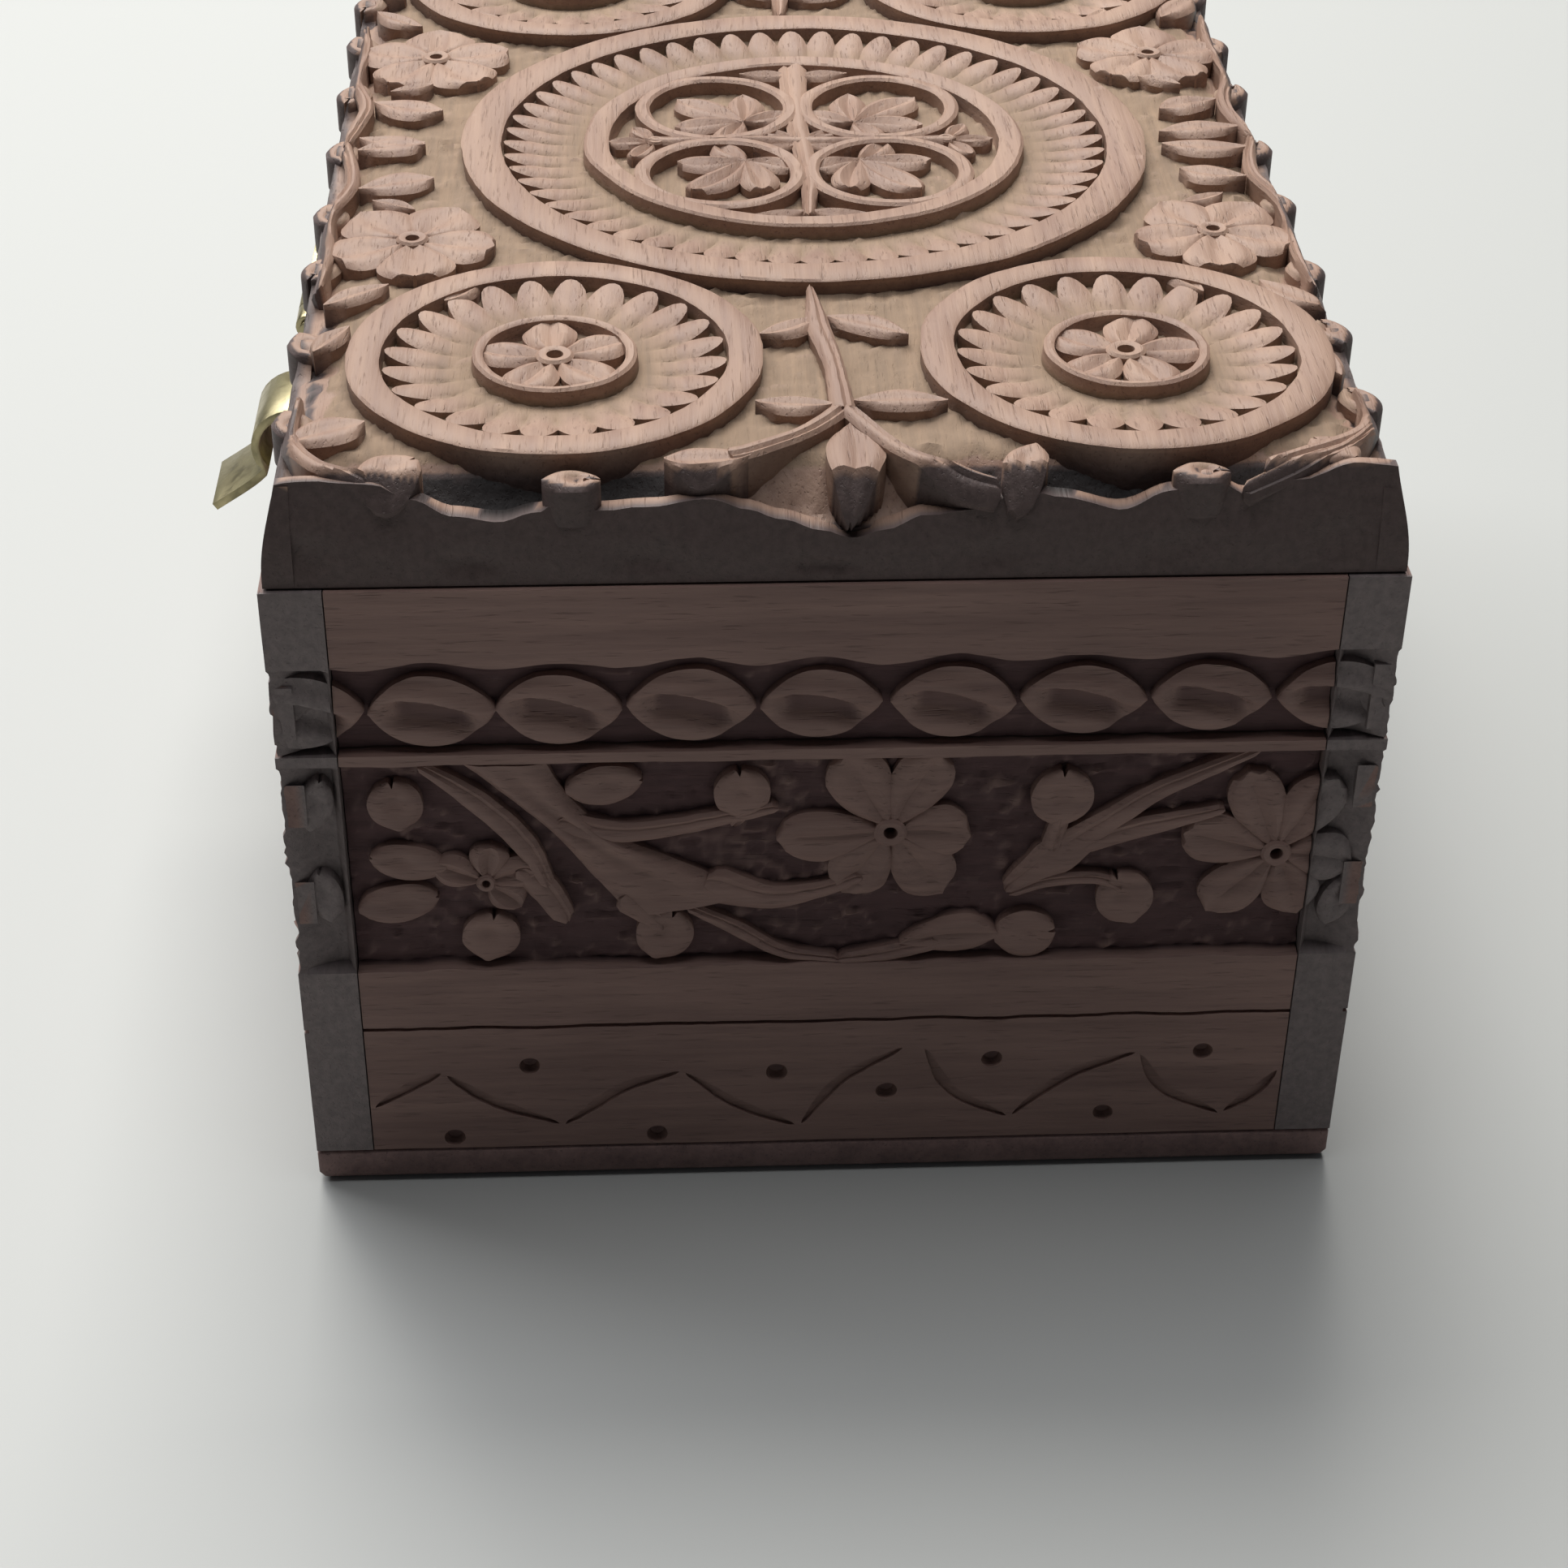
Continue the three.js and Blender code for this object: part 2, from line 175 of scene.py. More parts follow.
def ripple(x, y=0.0, layer=0.0, size=10.0):
    """A smooth irregular number between about -1 and 1 that changes over a length of size."""
    return noise.noise(Vector((x / size, y / size, layer)))


def bell(value, middle, width):
    """1 at the middle, falling smoothly to nothing on both sides."""
    return math.exp(-(((value - middle) / width) ** 2))


def side_matrix(side, height=0.0):
    """Takes (along, up, out) on a side of the box to its place, all in millimetres."""
    reach = HALF_DEPTH if side in LONG_SIDES else HALF_LENGTH
    right_end = Matrix(((0, 0, 1, reach), (1, 0, 0, 0), (0, 1, 0, height), (0, 0, 0, 1)))
    return Matrix.Rotation(QUARTERS[side] * math.pi / 2, 4, "Z") @ right_end


def lid_matrix():
    """Takes (across the box, towards the left end, up) on the lid's top to its place, in millimetres."""
    return Matrix(((0, -1, 0, 0), (1, 0, 0, 0), (0, 0, 1, LID_TOP), (0, 0, 0, 1)))


def placed(x, y, angle=0.0, size=1.0, stretch=1.0):
    """A motif's place on a face: its angle in degrees, its size, and its stretch across itself."""
    scale = Matrix.Diagonal((size, size * stretch, 1, 1))
    return Matrix.Translation((x, y, 0)) @ Matrix.Rotation(math.radians(angle), 4, "Z") @ scale


# ---------------------------------------------------------------- carved motifs
# A motif stands on the ground at z = 0, faces +z, and is a closed shell that goes a little below the ground.
def shell(columns, rows, place, foot=-SINK):
    """A closed shell: a grid laid out by place(s, t), with s and t from -1 to 1, and closed at the foot."""
    bm = bmesh.new()
    bmesh.ops.create_grid(bm, x_segments=columns, y_segments=rows, size=1.0)
    for vert in bm.verts:
        vert.co = place(vert.co.x, vert.co.y)
    close_below(bm, foot)
    return bm


def boundary(bm):
    return [edge for edge in bm.edges if edge.is_boundary]


def grown_rim(bm):
    """The new points of an open rim that is extruded once, still in the old points' places."""
    made = bmesh.ops.extrude_edge_only(bm, edges=boundary(bm))["geom"]
    return [item for item in made if isinstance(item, bmesh.types.BMVert)]


def close_below(bm, foot):
    """Takes an open rim straight down to the foot and closes it there."""
    for vert in grown_rim(bm):
        vert.co.z = foot
    bmesh.ops.edgeloop_fill(bm, edges=boundary(bm))


def turned(profile, steps):
    """A closed turned shape from (radius, height) pairs that either make a ring or end on the axis."""
    bm = bmesh.new()
    verts = [bm.verts.new((radius, 0, height)) for radius, height in profile]
    pairs = list(zip(verts, verts[1:]))
    if profile[0][0] > 0:
        pairs.append((verts[-1], verts[0]))
    edges = [bm.edges.new(pair) for pair in pairs]
    bmesh.ops.spin(
        bm, geom=verts + edges, cent=(0, 0, 0), axis=(0, 0, 1), angle=TURN, steps=steps,
        use_merge=True, use_duplicate=False, use_normal_flip=False,
    )
    bmesh.ops.remove_doubles(bm, verts=bm.verts[:], dist=1e-4)
    return bm


def mesh_of(bm, name):
    mesh = bpy.data.meshes.new(name)
    bm.to_mesh(mesh)
    bm.free()
    return mesh


def add_object(name, data):
    made = bpy.data.objects.new(name, data)
    bpy.context.scene.collection.objects.link(made)
    return made


def kept(bm, name):
    """Keeps a motif as a mesh that can be stamped many times."""
    bmesh.ops.recalc_face_normals(bm, faces=bm.faces[:])
    return mesh_of(bm, name)


def stamp(bm, motif, matrix=None):
    """Adds a copy of a motif to a board."""
    copy = motif.copy()
    if matrix is not None:
        copy.transform(matrix)
    bm.from_mesh(copy)
    bpy.data.meshes.remove(copy)


def add_bmesh(bm, other, matrix=None):
    """Joins another bmesh into this one."""
    mesh = kept(other, "joined")
    stamp(bm, mesh, matrix)
    bpy.data.meshes.remove(mesh)


def eye_leaf(height, length=14.2, width=9.2):
    """An almond leaf with a hollow under an S-shaped ridge, as on the lid's rails."""
    def place(s, t):
        half = width / 2 * max(0.015, 1 - abs(s) ** 2.1) ** 0.8
        x, y = s * length / 2, t * half
        ridge = 1.5 * math.cos(1.6 * s + 0.3) - 0.9 * s - 0.1
        below = ridge - y
        top = height * (1 - 0.2 * t * t - 0.12 * s * s)
        hollow = ease(below, -0.1, 0.7) * (1 - ease(below, 1.9, 4.4)) * (1 - ease(abs(s), 0.4, 0.9))
        crest = 0.1 * height * bell(below, -0.7, 0.8)
        scoop = 0.12 * height * bell(below, -2.6, 1.1) * (1 - s * s)
        return Vector((x, y, top - 0.72 * height * hollow + crest - scoop))

    return kept(shell(26, 26, place), "eye_leaf")


def leaf(length, width, height, belly=0.4, groove=0.3, foot=-SINK, bend=0.05, point=0.72):
    """A leaf from its stalk at x = 0 to its tip, widest at the belly, with a gouged midrib.

    A smaller point gives a rounder tip."""
    def place(s, t):
        along = (s + 1) / 2
        swell, power = (along / belly, 0.72) if along < belly else ((1 - along) / (1 - belly), point)
        half = width / 2 * max(0.05, math.sin(min(1.0, swell) * math.pi / 2) ** power)
        top = height * (1 - 0.3 * t ** 4 - 0.1 * t * t) * mix(0.88, 1.0, math.sin(along * math.pi))
        midrib = groove * height * bell(t, 0, 0.34) * max(0.0, math.sin(along * math.pi)) ** 0.5
        return Vector((along * length, t * half + bend * length * math.sin(along * 3), top - midrib))

    return kept(shell(14, 8, place, foot), "leaf")


def bud(length, width, height, foot=-SINK, notch=0.12):
    """A round bud with a gouged hollow and a nick at its tip."""
    def place(s, t):
        half = width / 2 * max(0.04, 1 - s * s) ** 0.5
        tip = ease(s, 0.6, 1.0) * (1 - ease(abs(t), 0.0, 0.5))
        top = height * (1 - 0.16 * (t * t + s * s) - 0.1 * t ** 4)
        hollow = 0.3 * height * math.exp(-(((s - 0.15) / 0.42) ** 2) - ((t / 0.46) ** 2))
        return Vector((s * length / 2 - notch * length * tip, t * half, top - hollow))

    return kept(shell(12, 12, place, foot), "bud")


ROUND_TIP = 0.46


def blossom(petals, width, height, eye=0.9, foot=-SINK, belly=0.62):
    """A flower of overlapping petals, given as (angle, reach) pairs, round a drilled eye."""
    bm = bmesh.new()
    for angle, reach in petals:
        petal = leaf(reach - eye, width, height, belly, 0.36, foot, bend=0.02, point=ROUND_TIP)
        turn = Matrix.Rotation(math.radians(angle), 4, "Z")
        stamp(bm, petal, turn @ Matrix.Translation((eye, 0, 0)))
        bpy.data.meshes.remove(petal)
    top = height * 0.97
    boss = [(0, 0.1 * height), (eye * 0.9, 0.1 * height), (eye, top * 0.94), (eye * 1.3, top)]
    boss += [(eye * 1.9, top), (eye * 2.3, top * 0.86), (eye * 2.3, foot), (0, foot)]
    add_bmesh(bm, turned(boss, 24))
    return kept(bm, "blossom")


def even_petals(count, reach, start=0.0):
    return [(start + i * 360 / count, reach) for i in range(count)]


def smooth_route(points, count):
    """count + 1 points on a smooth line through given points."""
    def at(i):
        return Vector(points[min(max(i, 0), len(points) - 1)])

    route = []
    for step in range(count + 1):
        place = step / count * (len(points) - 1)
        i = min(int(place), len(points) - 2)
        t = place - i
        a, b, c, d = at(i - 1), at(i), at(i + 1), at(i + 2)
        bends = (2 * a - 5 * b + 4 * c - d) * t ** 2 + (3 * b - a - 3 * c + d) * t ** 3
        route.append(0.5 * (2 * b + (c - a) * t + bends))
    return route


def flat_points(points):
    return [(x, y, 0.0) for x, y in points]


def route_length(points):
    return sum((Vector(a) - Vector(b)).length for a, b in zip(points, points[1:]))


def stem(points, widths, height, foot=-SINK, round_off=0.3):
    """A round-ended stem along given (x, y) points, its width changing evenly through the widths."""
    length = route_length(points)
    count = max(8, int(length / 0.9))
    route = smooth_route(flat_points(points), count)

    def place(s, t):
        i = round((s + 1) / 2 * count)
        along = route[min(i + 1, count)] - route[max(i - 1, 0)]
        across = Vector((-along.y, along.x, 0)).normalized()
        spot = i / count * (len(widths) - 1)
        k = min(int(spot), len(widths) - 2)
        half = mix(widths[k], widths[k + 1], spot - k) / 2
        ending = min(i, count - i) / count * length / half
        half *= max(0.12, 1 - max(0.0, 1 - ending) ** 2) ** 0.5
        top = height * (1 - round_off * abs(t) ** 3 - 0.6 * round_off * bell(t, 0.3, 0.22))
        return route[i] + across * (t * half) + Vector((0, 0, top))

    return kept(shell(count, 6, place, foot), "stem")


def ribbon(left, right, height):
    """A broad carved branch between two given edges, with long shallow flutes."""
    count = max(8, int(route_length(left) / 1.0))
    edges = smooth_route(flat_points(left), count), smooth_route(flat_points(right), count)

    def place(s, t):
        i = round((s + 1) / 2 * count)
        flute = 0.12 * height * (1 + math.cos(TURN * t)) * (1 - abs(s) ** 3)
        top = height * (1 - 0.3 * abs(t) ** 5) - flute
        return edges[0][i].lerp(edges[1][i], (t + 1) / 2) + Vector((0, 0, top))

    return kept(shell(count, 14, place), "ribbon")


def ring(radius, width, height):
    """A raised ring with rounded shoulders."""
    inner, outer = radius - width / 2, radius + width / 2
    section = [(inner, -SINK), (inner, height * 0.86), (inner + 0.25 * width, height)]
    section += [(outer - 0.25 * width, height), (outer, height * 0.86), (outer, -SINK)]
    return kept(turned(section, 64), "ring")


def medallion(outer, band, dish, rim, petals, tips, height, foot):
    """A round medallion: a flat outer band, a dish of gouged petals, a raised rim and a sunk middle.

    band, dish and rim are the inner radii of the band, the petals and the raised rim. The petals' round tips
    stand out beyond the grooves between them by tips."""
    tip = band - tips
    petal_rings = spaced(dish, tip, 6)
    profile = [(0, 0.0), (rim * 0.5, 0.0), (rim - 0.2, 0.0), (rim, 0.3 * height)]
    profile += [(rim + 0.1, height * 0.9), (rim + 0.5, height), (dish - 0.7, height)]
    profile += [(dish - 0.3, height * 0.88), (dish - 0.15, 0.1 * height)]
    profile += [(r, 0.1 * height) for r in petal_rings]
    profile += [(tip + 0.12, 0.05), (band - 0.2, 0.05), (band - 0.05, height * 0.92), (band + 0.35, height)]
    profile += [(mix(band, outer, 0.5), height), (outer - 0.4, height), (outer, height * 0.9)]
    profile += [(outer - 0.04, height * 0.6), (outer - 0.15, foot), (0, foot)]
    bm = turned(profile, petals * 8)
    for vert in bm.verts:
        radius = math.hypot(vert.co.x, vert.co.y)
        if not dish - 0.01 < radius < band - 0.19 or vert.co.z < -0.01:
            continue
        around = math.atan2(vert.co.y, vert.co.x) / TURN * petals
        side = 1 - abs((around % 1) - 0.5) * 2  # 0 on a petal's middle line, 1 in the groove beside it
        lobe = tip + (band - 0.32 - tip) * max(0.0, 1 - side ** 2.1)
        share = max(0.0, (radius - dish) / (tip - dish))
        if radius <= tip + 0.01:
            moved = dish + (lobe - dish) * share
            flute = 0.4 * height * side ** 2 * ease(share, 0.02, 0.75)
            vert.co.z = height * (mix(0.12, 0.9, share ** 1.15) - 0.1 * ease(share, 0.86, 1.0)) - flute
        else:
            moved = min(lobe + 0.1, band - 0.21) if radius < tip + 0.2 else radius
        vert.co.x *= moved / radius
        vert.co.y *= moved / radius
    return kept(bm, "medallion")


# ---------------------------------------------------------------- boards
# A board of a side is worked in (along, up, out) millimetres, with its face at out = 0.
FLAT, GROUND, LIP = range(3)
WALL_SHY = 0.1  # how far the motifs stay below the face of a wall, of a rail and of the lid's top
RAIL_SHY = 0.08
LID_SHY = 0.06
GLUE_LINE = 0.15  # half the gap between two boards
MORTISE = 1.55  # height of a hinge leaf's recess
PLAY = 0.2  # room round a hinge leaf


def tool_marks(x, y, depth):
    """Short gouge strokes and chatter on a ground, as a height above it."""
    near = noise.voronoi(Vector((x / 2.2 + y / 2.6, y / 1.3 - x / 5, 0.4)))[0][0]
    return depth * (1.6 * near * near + 0.5 * ripple(x, y, 3.0, 1.4) + 0.5 * ripple(x, y, 5.0, 5.0))


def side_half(side):
    """Half the width of a whole side, with the ends of the boards that lap it."""
    return HALF_LENGTH if side in LONG_SIDES else HALF_DEPTH


def board_half(side):
    return HALF_LENGTH if side in LONG_SIDES else HALF_DEPTH - WALL - GLUE_LINE


def carved_board(side, rows_at, depth, marks, step):
    """A board of a side. rows_at(along) lists the (height, zone) of its rows at a place along it."""
    half, long_side = board_half(side), side in LONG_SIDES
    columns, rows = round(2 * half / step), len(rows_at(0.0)) - 1
    bm = bmesh.new()
    bmesh.ops.create_grid(bm, x_segments=columns, y_segments=rows, size=1.0)
    for vert in bm.verts:
        along = vert.co.x * half
        height, zone = rows_at(along)[round((vert.co.y + 1) / 2 * rows)]
        shallow = mix(0.28, 1.0, ease(side_half(side) - abs(along), 0.0, 6.0))
        out = -0.05 - 0.05 * ripple(along, height, 31 + zone, 9)
        if zone == GROUND:
            out = tool_marks(along, height, marks) - depth * shallow - 0.2 * ripple(along, height, 34, 14)
        vert.co = (along, height, out)
    # The ends of a long board are carved too, so its edge goes back in steps.
    for back in (1.2, 2.4, 3.6, 4.8, 6.0, WALL) if long_side else (WALL,):
        for vert in grown_rim(bm):
            vert.co.z = min(vert.co.z - 0.02, -back)
            if long_side and abs(vert.co.x) > half - 3:
                sunk = 0.0
                if back < WALL and nearest_row(rows_at(vert.co.x), vert.co.y)[1] == GROUND:
                    sunk = max(0.0, depth * ease(back, 0.0, 5.0) + 0.2 * ripple(vert.co.y, back, 35, 3))
                vert.co.x = math.copysign(half - sunk, vert.co.x)
    bmesh.ops.edgeloop_fill(bm, edges=boundary(bm))
    return bm


def nearest_row(rows, height):
    return min(rows, key=lambda row: abs(row[0] - height))


def stray(x, y, layer, size, fine):
    """How far a hand-cut line strays, in slow bends with a little fast wobble on them."""
    return ripple(x, y, layer, size) + fine * ripple(x, y, layer + 1, 2.0)


def hand_cut(bm, half, low, high, amount):
    """Strays every point of a face a little, as a hand-held gouge does, and leaves the board's edges true."""
    for vert in bm.verts:
        x, y, out = vert.co
        inside = min(ease(half - abs(x), 0.2, 3), ease(y - low, 0.2, 2.5), ease(high - y, 0.2, 2.5))
        if inside <= 0 or out < -3.4:
            continue
        vert.co.x += amount * inside * stray(x, y, 11, 8, 0.35)
        vert.co.y += amount * inside * stray(x, y, 13, 8, 0.35)


def clipped(bm, low, high):
    """The part of a carving between two places along a side, closed where it is cut."""
    part = bm.copy()
    for at, way in ((low, -1), (high, 1)):
        bmesh.ops.bisect_plane(
            part, geom=part.verts[:] + part.edges[:] + part.faces[:],
            plane_co=(at, 0, 0), plane_no=(way, 0, 0), clear_outer=True,
        )
        bmesh.ops.holes_fill(part, edges=boundary(part))
    return part


def within_side(carving, side):
    limit = side_half(side) - GLUE_LINE
    inside = clipped(carving, -limit, limit)
    carving.free()
    return inside


def carved_sides(carve, height, depth, seed):
    """Each side's carving, sunk so that its ground is depth below the board's face, and shared out."""
    rng = random.Random(seed)
    carvings = {}
    for side in QUARTERS:
        carvings[side] = carve(side, height, rng)
        bmesh.ops.translate(carvings[side], vec=(0, 0, -depth), verts=carvings[side].verts[:])
    shared_out(carvings)
    return carvings


def shared_out(carvings):
    """Moves the outer strips of the two ends' carvings on to the ends of the long boards that lap them."""
    inner = board_half("right")
    for end, high_side, low_side in (("right", "back", "front"), ("left", "front", "back")):
        whole = carvings[end]
        for side, low, high in ((high_side, inner + 0.3, HALF_DEPTH), (low_side, -HALF_DEPTH, -inner - 0.3)):
            strip = clipped(whole, low, high)
            add_bmesh(carvings[side], strip, side_matrix(side).inverted() @ side_matrix(end))
        carvings[end] = clipped(whole, -inner, inner)
        whole.free()


def cut_away(bm, cutter):
    """Cuts one closed shape out of another, both in the same place."""
    boards = [add_object("work", kept(item, "work")) for item in (bm, cutter)]
    modifier = boards[0].modifiers.new("cut", "BOOLEAN")
    modifier.object = boards[1]
    modifier.solver = "EXACT"
    result = bpy.data.meshes.new_from_object(boards[0].evaluated_get(bpy.context.evaluated_depsgraph_get()))
    for board in boards:
        mesh = board.data
        bpy.data.objects.remove(board)
        bpy.data.meshes.remove(mesh)
    fresh = bmesh.new()
    fresh.from_mesh(result)
    bpy.data.meshes.remove(result)
    bmesh.ops.dissolve_degenerate(fresh, dist=1e-3, edges=fresh.edges[:])
    return fresh


def mortise_cutter(level):
    """Blocks for the recesses of the tray's or the lid's hinge leaves, with a little play round them."""
    bm = bmesh.new()
    for end in ("left", "right"):
        low, high = box_mm(f"hinge_{end}_{level}_leaf")
        bottom, top = TRAY_HIGH - MORTISE, TRAY_HIGH + 1
        if level == "lid":
            bottom, top = RAIL_LOW - 1, RAIL_LOW + MORTISE
        middle = Vector(((low.x + high.x) / 2, (low.y + HALF_DEPTH + 1) / 2, (bottom + top) / 2))
        size = Vector((high.x - low.x + 2 * PLAY, HALF_DEPTH + 1 - low.y + 2 * PLAY, top - bottom))
        matrix = Matrix.Translation(middle) @ Matrix.Diagonal((*size, 1))
        bmesh.ops.create_cube(bm, size=1.0, matrix=side_matrix("back").inverted() @ matrix)
    return bm


# ---------------------------------------------------------------- the tray's walls
BAND_LOW = 33.4  # lower border of the carved band
BAND_HIGH = 63.3  # the lip above the carved band
LINE_HEIGHT = 24.6
PAD_HALF = 8.6  # the flat left under the catch plate
PAD_LOW = 49.4
ZIGZAG = [  # curved gouge cuts on an end, from point to point
    [(-56.6, 12.2), (-51.5, 15.9), (-48.3, 17.3)], [(-47.5, 16.9), (-42, 12.6), (-33.8, 8.9)],
    [(-33.0, 8.8), (-26, 14.4), (-18.6, 17)], [(-17.8, 16.7), (-11, 11.2), (-4.0, 8.1)],
    [(-3.1, 8.2), (1.5, 15), (9, 20)], [(11.8, 19.7), (15.6, 13), (22.6, 8.7)],
    [(23.4, 8.8), (30.5, 15.2), (38.4, 18.4)], [(39.1, 18.0), (42.6, 12.4), (49.8, 8.3)],
    [(50.6, 8.6), (54, 11.6), (56.6, 15)],
]
DRILLED = [(-47, 7), (-37, 18.5), (-21.5, 6.8), (-6.5, 16.5), (7.5, 13), (20.5, 18), (35, 8.8), (47, 18.5)]
ZIGZAG_SPAN = 57.0
ZIGZAG_FIT = 0.985  # draws the zigzag in a little from the board's ends
DOT = 1.3  # radius of a drilled dot
CUT_WIDTHS = [0.3, 1.5, 1.5, 0.3]
LINE_WIDTHS = [0.5, 0.5]
CUT_DEEP = 0.6
CUT_ABOVE = 0.5  # how far a cutter stands out of the face
LONG_SHARE = 0.78  # how far a spray is drawn together on a long side


def scribed_cutter(side):
    """The drilled dots, the gouged zigzag and the scribed line of a side's flat foot."""
    bm = bmesh.new()
    half = board_half(side)
    runs = [(0.0, 1, 1.0)]
    if side in LONG_SIDES:
        share = (half - 2) / 2 / ZIGZAG_SPAN
        runs = [(-half / 2, 1, share), (half / 2, -1, share)]
    dot = kept(turned([(0, -1.5), (DOT * 0.72, -1.35), (DOT, -0.3), (DOT, 0.6), (0, 0.6)], 20), "dot")

    def cut(points, widths):
        groove = stem(points, widths, CUT_ABOVE + CUT_DEEP, 0, 0.0)
        stamp(bm, groove, Matrix.Translation((0, 0, -CUT_DEEP)))

    for middle, flip, share in runs:
        for route in ZIGZAG:
            cut([(middle + flip * x * share * ZIGZAG_FIT, y) for x, y in route], CUT_WIDTHS)
        for x, y in DRILLED:
            stamp(bm, dot, Matrix.Translation((middle + flip * x * share * ZIGZAG_FIT, y, 0)))
    scribed = [(x, LINE_HEIGHT + 0.12 * ripple(x, 0, 36, 20)) for x in spaced(-half - 2, half + 2, 24)]
    cut(scribed, LINE_WIDTHS)
    return bm


def wall_rows(along):
    """Rows up a wall: the flat foot, the border of the carved band, its ground, the lip under the seam."""
    border = BAND_LOW + 0.5 * ripple(along, 0, 21, 13) + 0.25 * ripple(along, 0, 22, 4)
    lip = BAND_HIGH + 0.15 * ripple(along, 0, 23, 9)
    rows = [(z, FLAT) for z in spaced(TRAY_LOW, border, 16)]
    rows += [(z, GROUND) for z in spaced(border + 0.4, lip - 0.3, 38)]
    return rows + [(lip, LIP), (TRAY_HIGH, LIP)]


# ---------------------------------------------------------------- wall motifs
def wall_motifs(height):
    """The motifs that the tray's walls repeat, by name."""
    six = [(117, 12.4), (64, 12.4), (184, 13.2), (-2, 9.4), (238, 10.0), (307, 11.0)]
    five = [(112, 12.6), (62, 12.2), (167, 11.8), (-8, 9.4), (230, 11.4), (293, 9.6)]
    return {
        "flower": blossom(six, 7.4, height, eye=0.85, belly=0.66),
        "other_flower": blossom(five, 7.0, height, eye=0.8, belly=0.66),
        "bud": bud(7.2, 6.8, height),
        "oval": bud(9.0, 5.2, height * 0.96, notch=0.04),
        "leaf": leaf(12, 5.6, height, belly=0.6),
        "lobes": blossom([(10, 6.0), (75, 5.2), (150, 6.6), (-50, 5.2)], 4.6, height, eye=0.5),
    }


# A spray on an end: what stands where, as (motif, along, height, angle, size).
SPRAY = [
    ("flower", 6.6, 52.3, 0, 1.0), ("other_flower", 52.3, 48.4, 0, 1.0),
    ("bud", -50.4, 57.4, 95, 0.94), ("oval", -49.4, 49.2, 172, 0.98), ("oval", -51.0, 43.2, 12, 1.05),
    ("lobes", -40.5, 46.2, 8, 1.0), ("bud", -40.3, 38.0, 85, 0.98), ("bud", -19.8, 37.8, 70, 1.02),
    ("oval", -26.4, 59.6, 14, 1.0), ("bud", -10.7, 58.0, 96, 0.96), ("bud", 26.6, 56.8, 92, 1.08),
    ("bud", 34.9, 42.0, 115, 1.04), ("bud", 23.2, 36.9, 12, 1.0), ("leaf", 8.2, 36.0, 2, 1.02),
    ("oval", -59.6, 57.6, 80, 0.8), ("oval", -59.4, 44.4, 100, 0.8), ("oval", 60.4, 41.0, 70, 0.8),
]
# Its stems, as (points, widths).
STEMS = [
    ([(-47.5, 62.8), (-41, 57.6), (-36, 51.5), (-33.5, 45.5)], [1.4, 3.0, 3.2, 2.0]),
    ([(-37, 48), (-34, 45), (-31.3, 40.2)], [2.4, 3.8, 3.0]),
    ([(-32, 54.6), (-24, 53.0), (-15, 54.2), (-6.5, 56.2)], [3.6, 2.8, 2.4, 1.4]),
    ([(-15, 45.6), (-8, 43.2), (-2, 44), (3.5, 46)], [6.0, 3.6, 2.4, 1.6]),
    ([(-24.5, 44), (-22, 41.4), (-20, 38.6)], [5.0, 3.8, 2.6]),
    ([(-17, 42), (-11, 38.2), (-5.5, 34.8), (1, 33.6)], [1.4, 2.2, 1.8, 1.0]),
    ([(1, 33.6), (6.5, 34.2), (13, 36)], [1.2, 2.4, 2.2]),
    ([(20.6, 43.4), (26, 48.2), (31.5, 52.6), (39, 58.2), (49, 63.2)], [1.6, 5.4, 3.6, 2.4, 1.4]),
    ([(29, 50), (37, 52.4), (45.5, 54.8)], [3.2, 2.8, 1.4]),
    ([(21, 43.0), (26, 44.8), (31, 44.9), (34.5, 43.4)], [1.6, 2.0, 1.8, 1.4]),
    ([(26.6, 54), (25.6, 49.4)], [2.2, 2.6]), ([(-10.4, 55.6), (-11.6, 53.8)], [1.8, 2.0]),
]
TRUNK = [(-42.5, 63.0), (-37.5, 57.8), (-32, 52.2), (-27.4, 45.8), (-23.4, 40.6)]
TRUNK_EDGE = [(-33, 63.0), (-30, 57.2), (-24.4, 51.9), (-15.5, 47.2), (-10, 43.6)]


def carve_spray(bm, motifs, height, middle, flip, share, rng, skip):
    """Cuts one spray on a band, at a middle along the side, mirrored by flip and drawn together by share.

    skip(x, y) is true where nothing is to be cut."""
    def moved(points):
        return [(middle + flip * x * share, y) for x, y in points]

    for name, x, y, angle, size in SPRAY:
        spot = moved([(x, y)])[0]
        if skip(*spot):
            continue
        turn = angle + rng.uniform(-4, 4)
        mirror = Matrix.Diagonal((flip, 1, 1, 1))
        stamp(bm, motifs[name], Matrix.Translation((*spot, 0)) @ mirror @ placed(0, 0, turn, size))
    for points, widths in STEMS:
        route = moved(points)
        if not any(skip(*point) for point in route):
            stamp(bm, stem(route, widths, height * 0.94))
    stamp(bm, ribbon(moved(TRUNK), moved(TRUNK_EDGE), height * 0.98))


def carve_band(side, height, rng):
    """The carving of a side's band, on its ground at z = 0."""
    carving = bmesh.new()
    motifs = wall_motifs(height)
    if side not in LONG_SIDES:
        carve_spray(carving, motifs, height, 0.0, 1, 1.0, rng, lambda x, y: False)
        return within_side(carving, side)
    bare = PAD_HALF + 3 if side == "front" else 0

    def under_catch(x, y):
        return abs(x) < bare and y > PAD_LOW - 5

    for middle, flip in ((-HALF_LENGTH / 2, 1), (HALF_LENGTH / 2, -1)):
        carve_spray(carving, motifs, height, middle, flip, LONG_SHARE, rng, under_catch)
    return within_side(carving, side)


